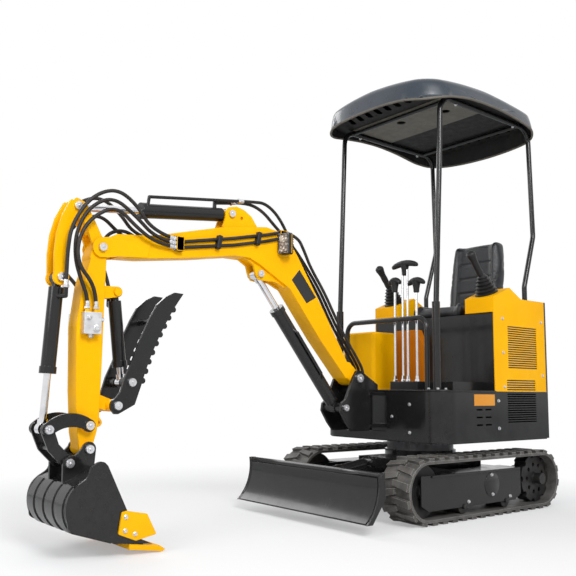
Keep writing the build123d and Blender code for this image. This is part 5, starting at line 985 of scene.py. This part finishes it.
def rolled(name, profile, low, high):
    """A sheet that follows a profile of (x, z) places, from one y to another, closed all round."""
    count = len(profile)
    places = [(x + slew_x, y, z) for y in (low, high) for x, z in profile]
    faces = [(i, (i + 1) % count, count + (i + 1) % count, count + i) for i in range(count)]
    faces += [tuple(range(count - 1, -1, -1)), tuple(range(count, 2 * count))]
    mesh = bpy.data.meshes.new(name)
    mesh.from_pydata(places, [], faces)
    sheet = bpy.data.objects.new(name, mesh)
    scene.collection.objects.link(sheet)
    bpy.ops.object.select_all(action="DESELECT")
    sheet.select_set(True)
    bpy.context.view_layer.objects.active = sheet
    bpy.ops.object.mode_set(mode="EDIT")
    bpy.ops.mesh.select_all(action="SELECT")
    bpy.ops.mesh.quads_convert_to_tris(ngon_method="BEAUTY")
    bpy.ops.mesh.normals_make_consistent(inside=False)
    bpy.ops.object.mode_set(mode="OBJECT")
    smooth_over(sheet)
    return sheet


start, end = atan2(0.236 - roll_z, 0.802 - roll_x), atan2(0.052 - roll_z, 0.8745 - roll_x)
if end - start > pi:
    end -= 2 * pi
if end - start < -pi:
    end += 2 * pi
arc_steps = 48
turns = [start + (end - start) * step / arc_steps for step in range(arc_steps + 1)]
front, behind = (
    [(roll_x + radius * cos(turn), roll_z + radius * sin(turn)) for turn in turns]
    for radius in (roll_radius - 0.0035, roll_radius + 0.0006)
)
dress(rolled("blade_face", front + behind[::-1], -0.4545, 0.4545), paints["black_paint"], "blade")


# Bucket: a smooth rolled back with four wear strips, and side cheeks cut with rounded tops, welded
# along their rims.
arc_steps = 32
arc_x, arc_z, arc_radius = circle_through((2.040, 0.106), (2.076, 0.190), (2.040, 0.262))
first, last = atan2(0.262 - arc_z, 2.040 - arc_x), atan2(0.106 - arc_z, 2.040 - arc_x)
turns = [first + (last - first) * step / arc_steps for step in range(1, arc_steps + 1)]
back_line = [(1.930, 0.3125), (2.040, 0.262)]
back_line += [(arc_x + arc_radius * cos(turn), arc_z + arc_radius * sin(turn)) for turn in turns]
back_line += [(1.890, 0.056), (1.800, 0.0425)]


def beside(line, far):
    """The same line set off to the bucket's outside."""
    moved = []
    for number, (x, z) in enumerate(line):
        before = line[max(number - 1, 0)]
        after = line[min(number + 1, len(line) - 1)]
        run, rise = after[0] - before[0], after[1] - before[1]
        size = hypot(run, rise)
        moved.append((x - rise / size * far, z + run / size * far))
    return moved


def strip(name, line, outer, inner, low, high):
    return rolled(name, beside(line, outer) + beside(line, inner)[::-1], low, high)


strips = [strip("bucket_back", back_line, 0.0046, 0.0030, -0.1826, 0.1826)]
for middle in (-0.138, -0.046, 0.046, 0.138):
    strips.append(strip("wear_strip", back_line[1:-1], 0.0082, 0.0040, middle - 0.027, middle + 0.027))
rim = [(1.735, 0.034), (1.890, 0.0515), (2.046, 0.104), (2.072, 0.140), (2.080, 0.190), (2.070, 0.235),
       (2.046, 0.264), (2.010, 0.288), (1.998, 0.308), (1.990, 0.328), (1.975, 0.341), (1.956, 0.347),
       (1.938, 0.342), (1.926, 0.330), (1.792, 0.060)]
straight_from = (0, 1, 12, 13, 14)


def eased(a, b, c, d, t):
    """The value a share t of the way from b to c, on a smooth line past a, b, c and d."""
    return 0.5 * (2 * b + (c - a) * t + (2 * a - 5 * b + 4 * c - d) * t ** 2
                  + (3 * b - a - 3 * c + d) * t ** 3)


cheek_rim = []
for number, here in enumerate(rim):
    before, after, later = rim[number - 1], rim[(number + 1) % len(rim)], rim[(number + 2) % len(rim)]
    for step in range(1 if number in straight_from else 8):
        cheek_rim.append(tuple(eased(*near, step / 8) for near in zip(before, here, after, later)))
for hand in (1, -1):
    strips.append(rolled("cheek", cheek_rim, hand * 0.1822, hand * 0.1907))
dress(together("bucket_skin", strips), paints["black_paint"], "bucket")


# Deck edge: a rolled steel nosing round the front and the front corners of the platform, welded on
# and painted with it.
deck_rear, deck_front, deck_side, deck_corner, nosing_z = -0.100, 0.330, 0.427, 0.104, 0.6125
corner_x, corner_y = deck_front - deck_corner, deck_side - deck_corner
turns = [radians(step * 7.5) for step in range(1, 13)]
nosing = [(deck_rear, deck_side), (corner_x, deck_side)]
nosing += [(corner_x + deck_corner * sin(turn), corner_y + deck_corner * cos(turn)) for turn in turns]
nosing += [(x, -y) for x, y in nosing[::-1]]
holder = drawn_line("nosing", [(x + slew_x, y, nosing_z) for x, y in nosing])
dress(thicken(holder, "deck_nosing", 0.0036), paints["black_paint"], "upper")


# Track frames: a folded lip along the top of each outer cover and a round inspection plate.
track_parts = []
for hand in (1, -1):
    track_parts.append(block((0.072 + slew_x, hand * 0.4365, 0.2165), (0.700, 0.008, 0.011), 0.003, 3))
    plate = turned("plate", [(-0.001, 0.060), (0.0012, 0.060), (0.0018, 0.0588)], 64)
    plate.data.transform(facing((-0.040 + slew_x, hand * 0.433, 0.150), (0, hand, 0)))
    track_parts.append(plate)
dress(together("track_frame_trim", track_parts), paints["black_paint"], "undercarriage")
